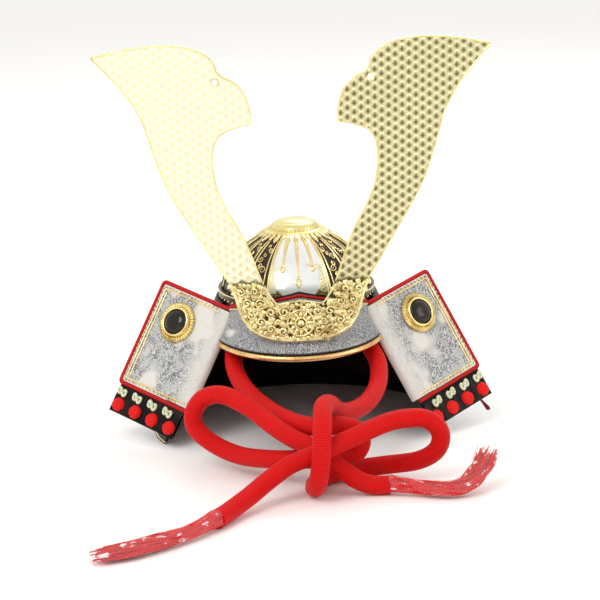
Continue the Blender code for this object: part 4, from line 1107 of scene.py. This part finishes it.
# Knot strips: the lacquered last row of scales under each panel, laced with round knots of
# red silk below figures of eight in pale green silk.
pale_silk = braid_finish("pale_silk", (0.82, 0.84, 0.62), (0.42, 0.45, 0.26), 1.2)
knot_silk = braid_finish("knot_silk", (0.86, 0.016, 0.014), (0.50, 0.004, 0.004), 1.4)
STRIP_TOP = -71.5
for name, side in SIDES:
    def strip_place(u, v):
        across = FOLD + PANEL_FLAT * u
        down = there_and_back(v)
        bump = abs(sin(pi * 9 * u)) ** 0.6 * 0.35 if v <= 0.5 else 0
        tuck = 1.6 * max(0, 1 - down * 6)
        return on_panel(side, across, (0.1 - bump + tuck if v <= 0.5 else 2.0), STRIP_TOP + 2.2 - 19.7 * down)

    bm = bmesh.new()
    wrap(bm, 72, 16, strip_place)
    low = STRIP_TOP - 17.1
    roll(bm, drawn(on_panel, (side, 3.6, 1.0, low), (side, 57.3, 1.0, low), 30), 0.5, 6)
    for k in range(4):
        spot = (52.0 - 14.5 * k, STRIP_TOP - 12)

        def knot_place(u, v):
            wind = 1 + 0.055 * cos(tau * (7 * u + 2.2 * v)) * sin(pi * min(v * 1.3, 1))
            radius = 4.55 * cos(pi / 2 * v) ** 0.75 * wind if v < 1 else 0
            rise = 3.6 * sin(pi / 2 * v) * wind
            angle = tau * u
            return on_panel(side, spot[0] + radius * cos(angle), 0.3 - rise, spot[1] + radius * sin(angle))

        wrap(bm, 56, 14, knot_place, (0.028, 1.0), 2)
        pale = (53.0 - 13 * k, STRIP_TOP - 3.4)
        ring = []
        for turn in (tau * j / 28 for j in range(29)):
            along, over = 3.1 * cos(turn), 1.9 * sin(2 * turn)
            ring.append(on_panel(side, pale[0] + along, -1.0 - 0.5 * sin(turn), pale[1] + over + 0.2 * along))
        roll(bm, ring, 0.95, closed=True, layer=3)
        knot = [on_panel(side, pale[0] + 0.3 * j, -1.0 - 1.1 * cos(j * pi / 4), pale[1] + 0.75 * j)
                for j in range(-2, 3)]
        roll(bm, knot, 0.9, layer=3)
    piece(f"knot_row_{name}", bm, [scale_lacquer, bright_gilt, knot_silk, pale_silk], "strip_lacquer",
          [f"knot_strip_{name}"])

# Hidden ends: the cord's two anchors are plain black blocks inside the waist, and a small
# tuft of dark red silk shows under the right strip, where its lacing is tied off.
anchor_black = mottled(
    "anchor_black", 800.0, 3.0, ((0.012, 0.011, 0.011), (0.045, 0.04, 0.038)), (0.6, 0.3),
)
for name in ("left", "right"):
    dress(f"cord_anchor_{name}", anchor_black)
tuft_silk = braid_finish("tuft_silk", (0.20, 0.012, 0.016), (0.06, 0.004, 0.006), 1.2)
bm = bmesh.new()
tuft = random.Random(5)
for k in range(12):
    bend = tuft.uniform(-1.4, 1.4)
    end = STRIP_TOP - 24 - tuft.uniform(0, 2)
    rows = (46 + bend * 0.3, 1, STRIP_TOP - 15), (47 + bend * 0.4, 0, STRIP_TOP - 18.5), (49 + bend, 0.5, end)
    path = smooth_run([on_panel(1, *row) for row in rows], 4)
    roll(bm, path, 0.45, 6)
piece("lacing_tuft", bm, [tuft_silk], "edging_silk")

# Studio: a wide pale floor under soft light from the upper left, with a weaker one on the
# right, one behind, and an even bright surround that the polished parts reflect.
bm = bmesh.new()
bmesh.ops.create_grid(bm, x_segments=1, y_segments=1, size=8)
mesh = bpy.data.meshes.new("floor")
bm.to_mesh(mesh)
bm.free()
floor = placed("floor", mesh)
pale = Finish("floor_paint")
drift = pale.cloud(1.5, 2.0)
pale.wear(pale.blend(drift, (0.90, 0.895, 0.88), (0.94, 0.935, 0.92)), 0.7 + drift * 0.1)
mesh.materials.append(pale.material)
world = bpy.data.worlds.new("studio")
bpy.context.scene.world = world
world.use_nodes = True
surround = world.node_tree.nodes["Background"].inputs
surround["Color"].default_value = (1.0, 0.99, 0.97, 1)
surround["Strength"].default_value = 0.97
for name, spot, size, power in (
    ("key", (-0.75, -1.0, 1.25), 0.7, 9.0), ("side", (1.15, -0.6, 0.7), 0.6, 2.5),
    ("back", (0.3, 1.1, 1.2), 0.8, 6.0),
):
    lamp = placed(name, bpy.data.lights.new(name, "AREA"))
    lamp.data.size = size
    lamp.data.energy = power
    lamp.location = spot
    lamp.rotation_euler = (MIDDLE - Vector(spot)).to_track_quat("-Z", "Y").to_euler()
bpy.context.scene.view_settings.view_transform = "Standard"
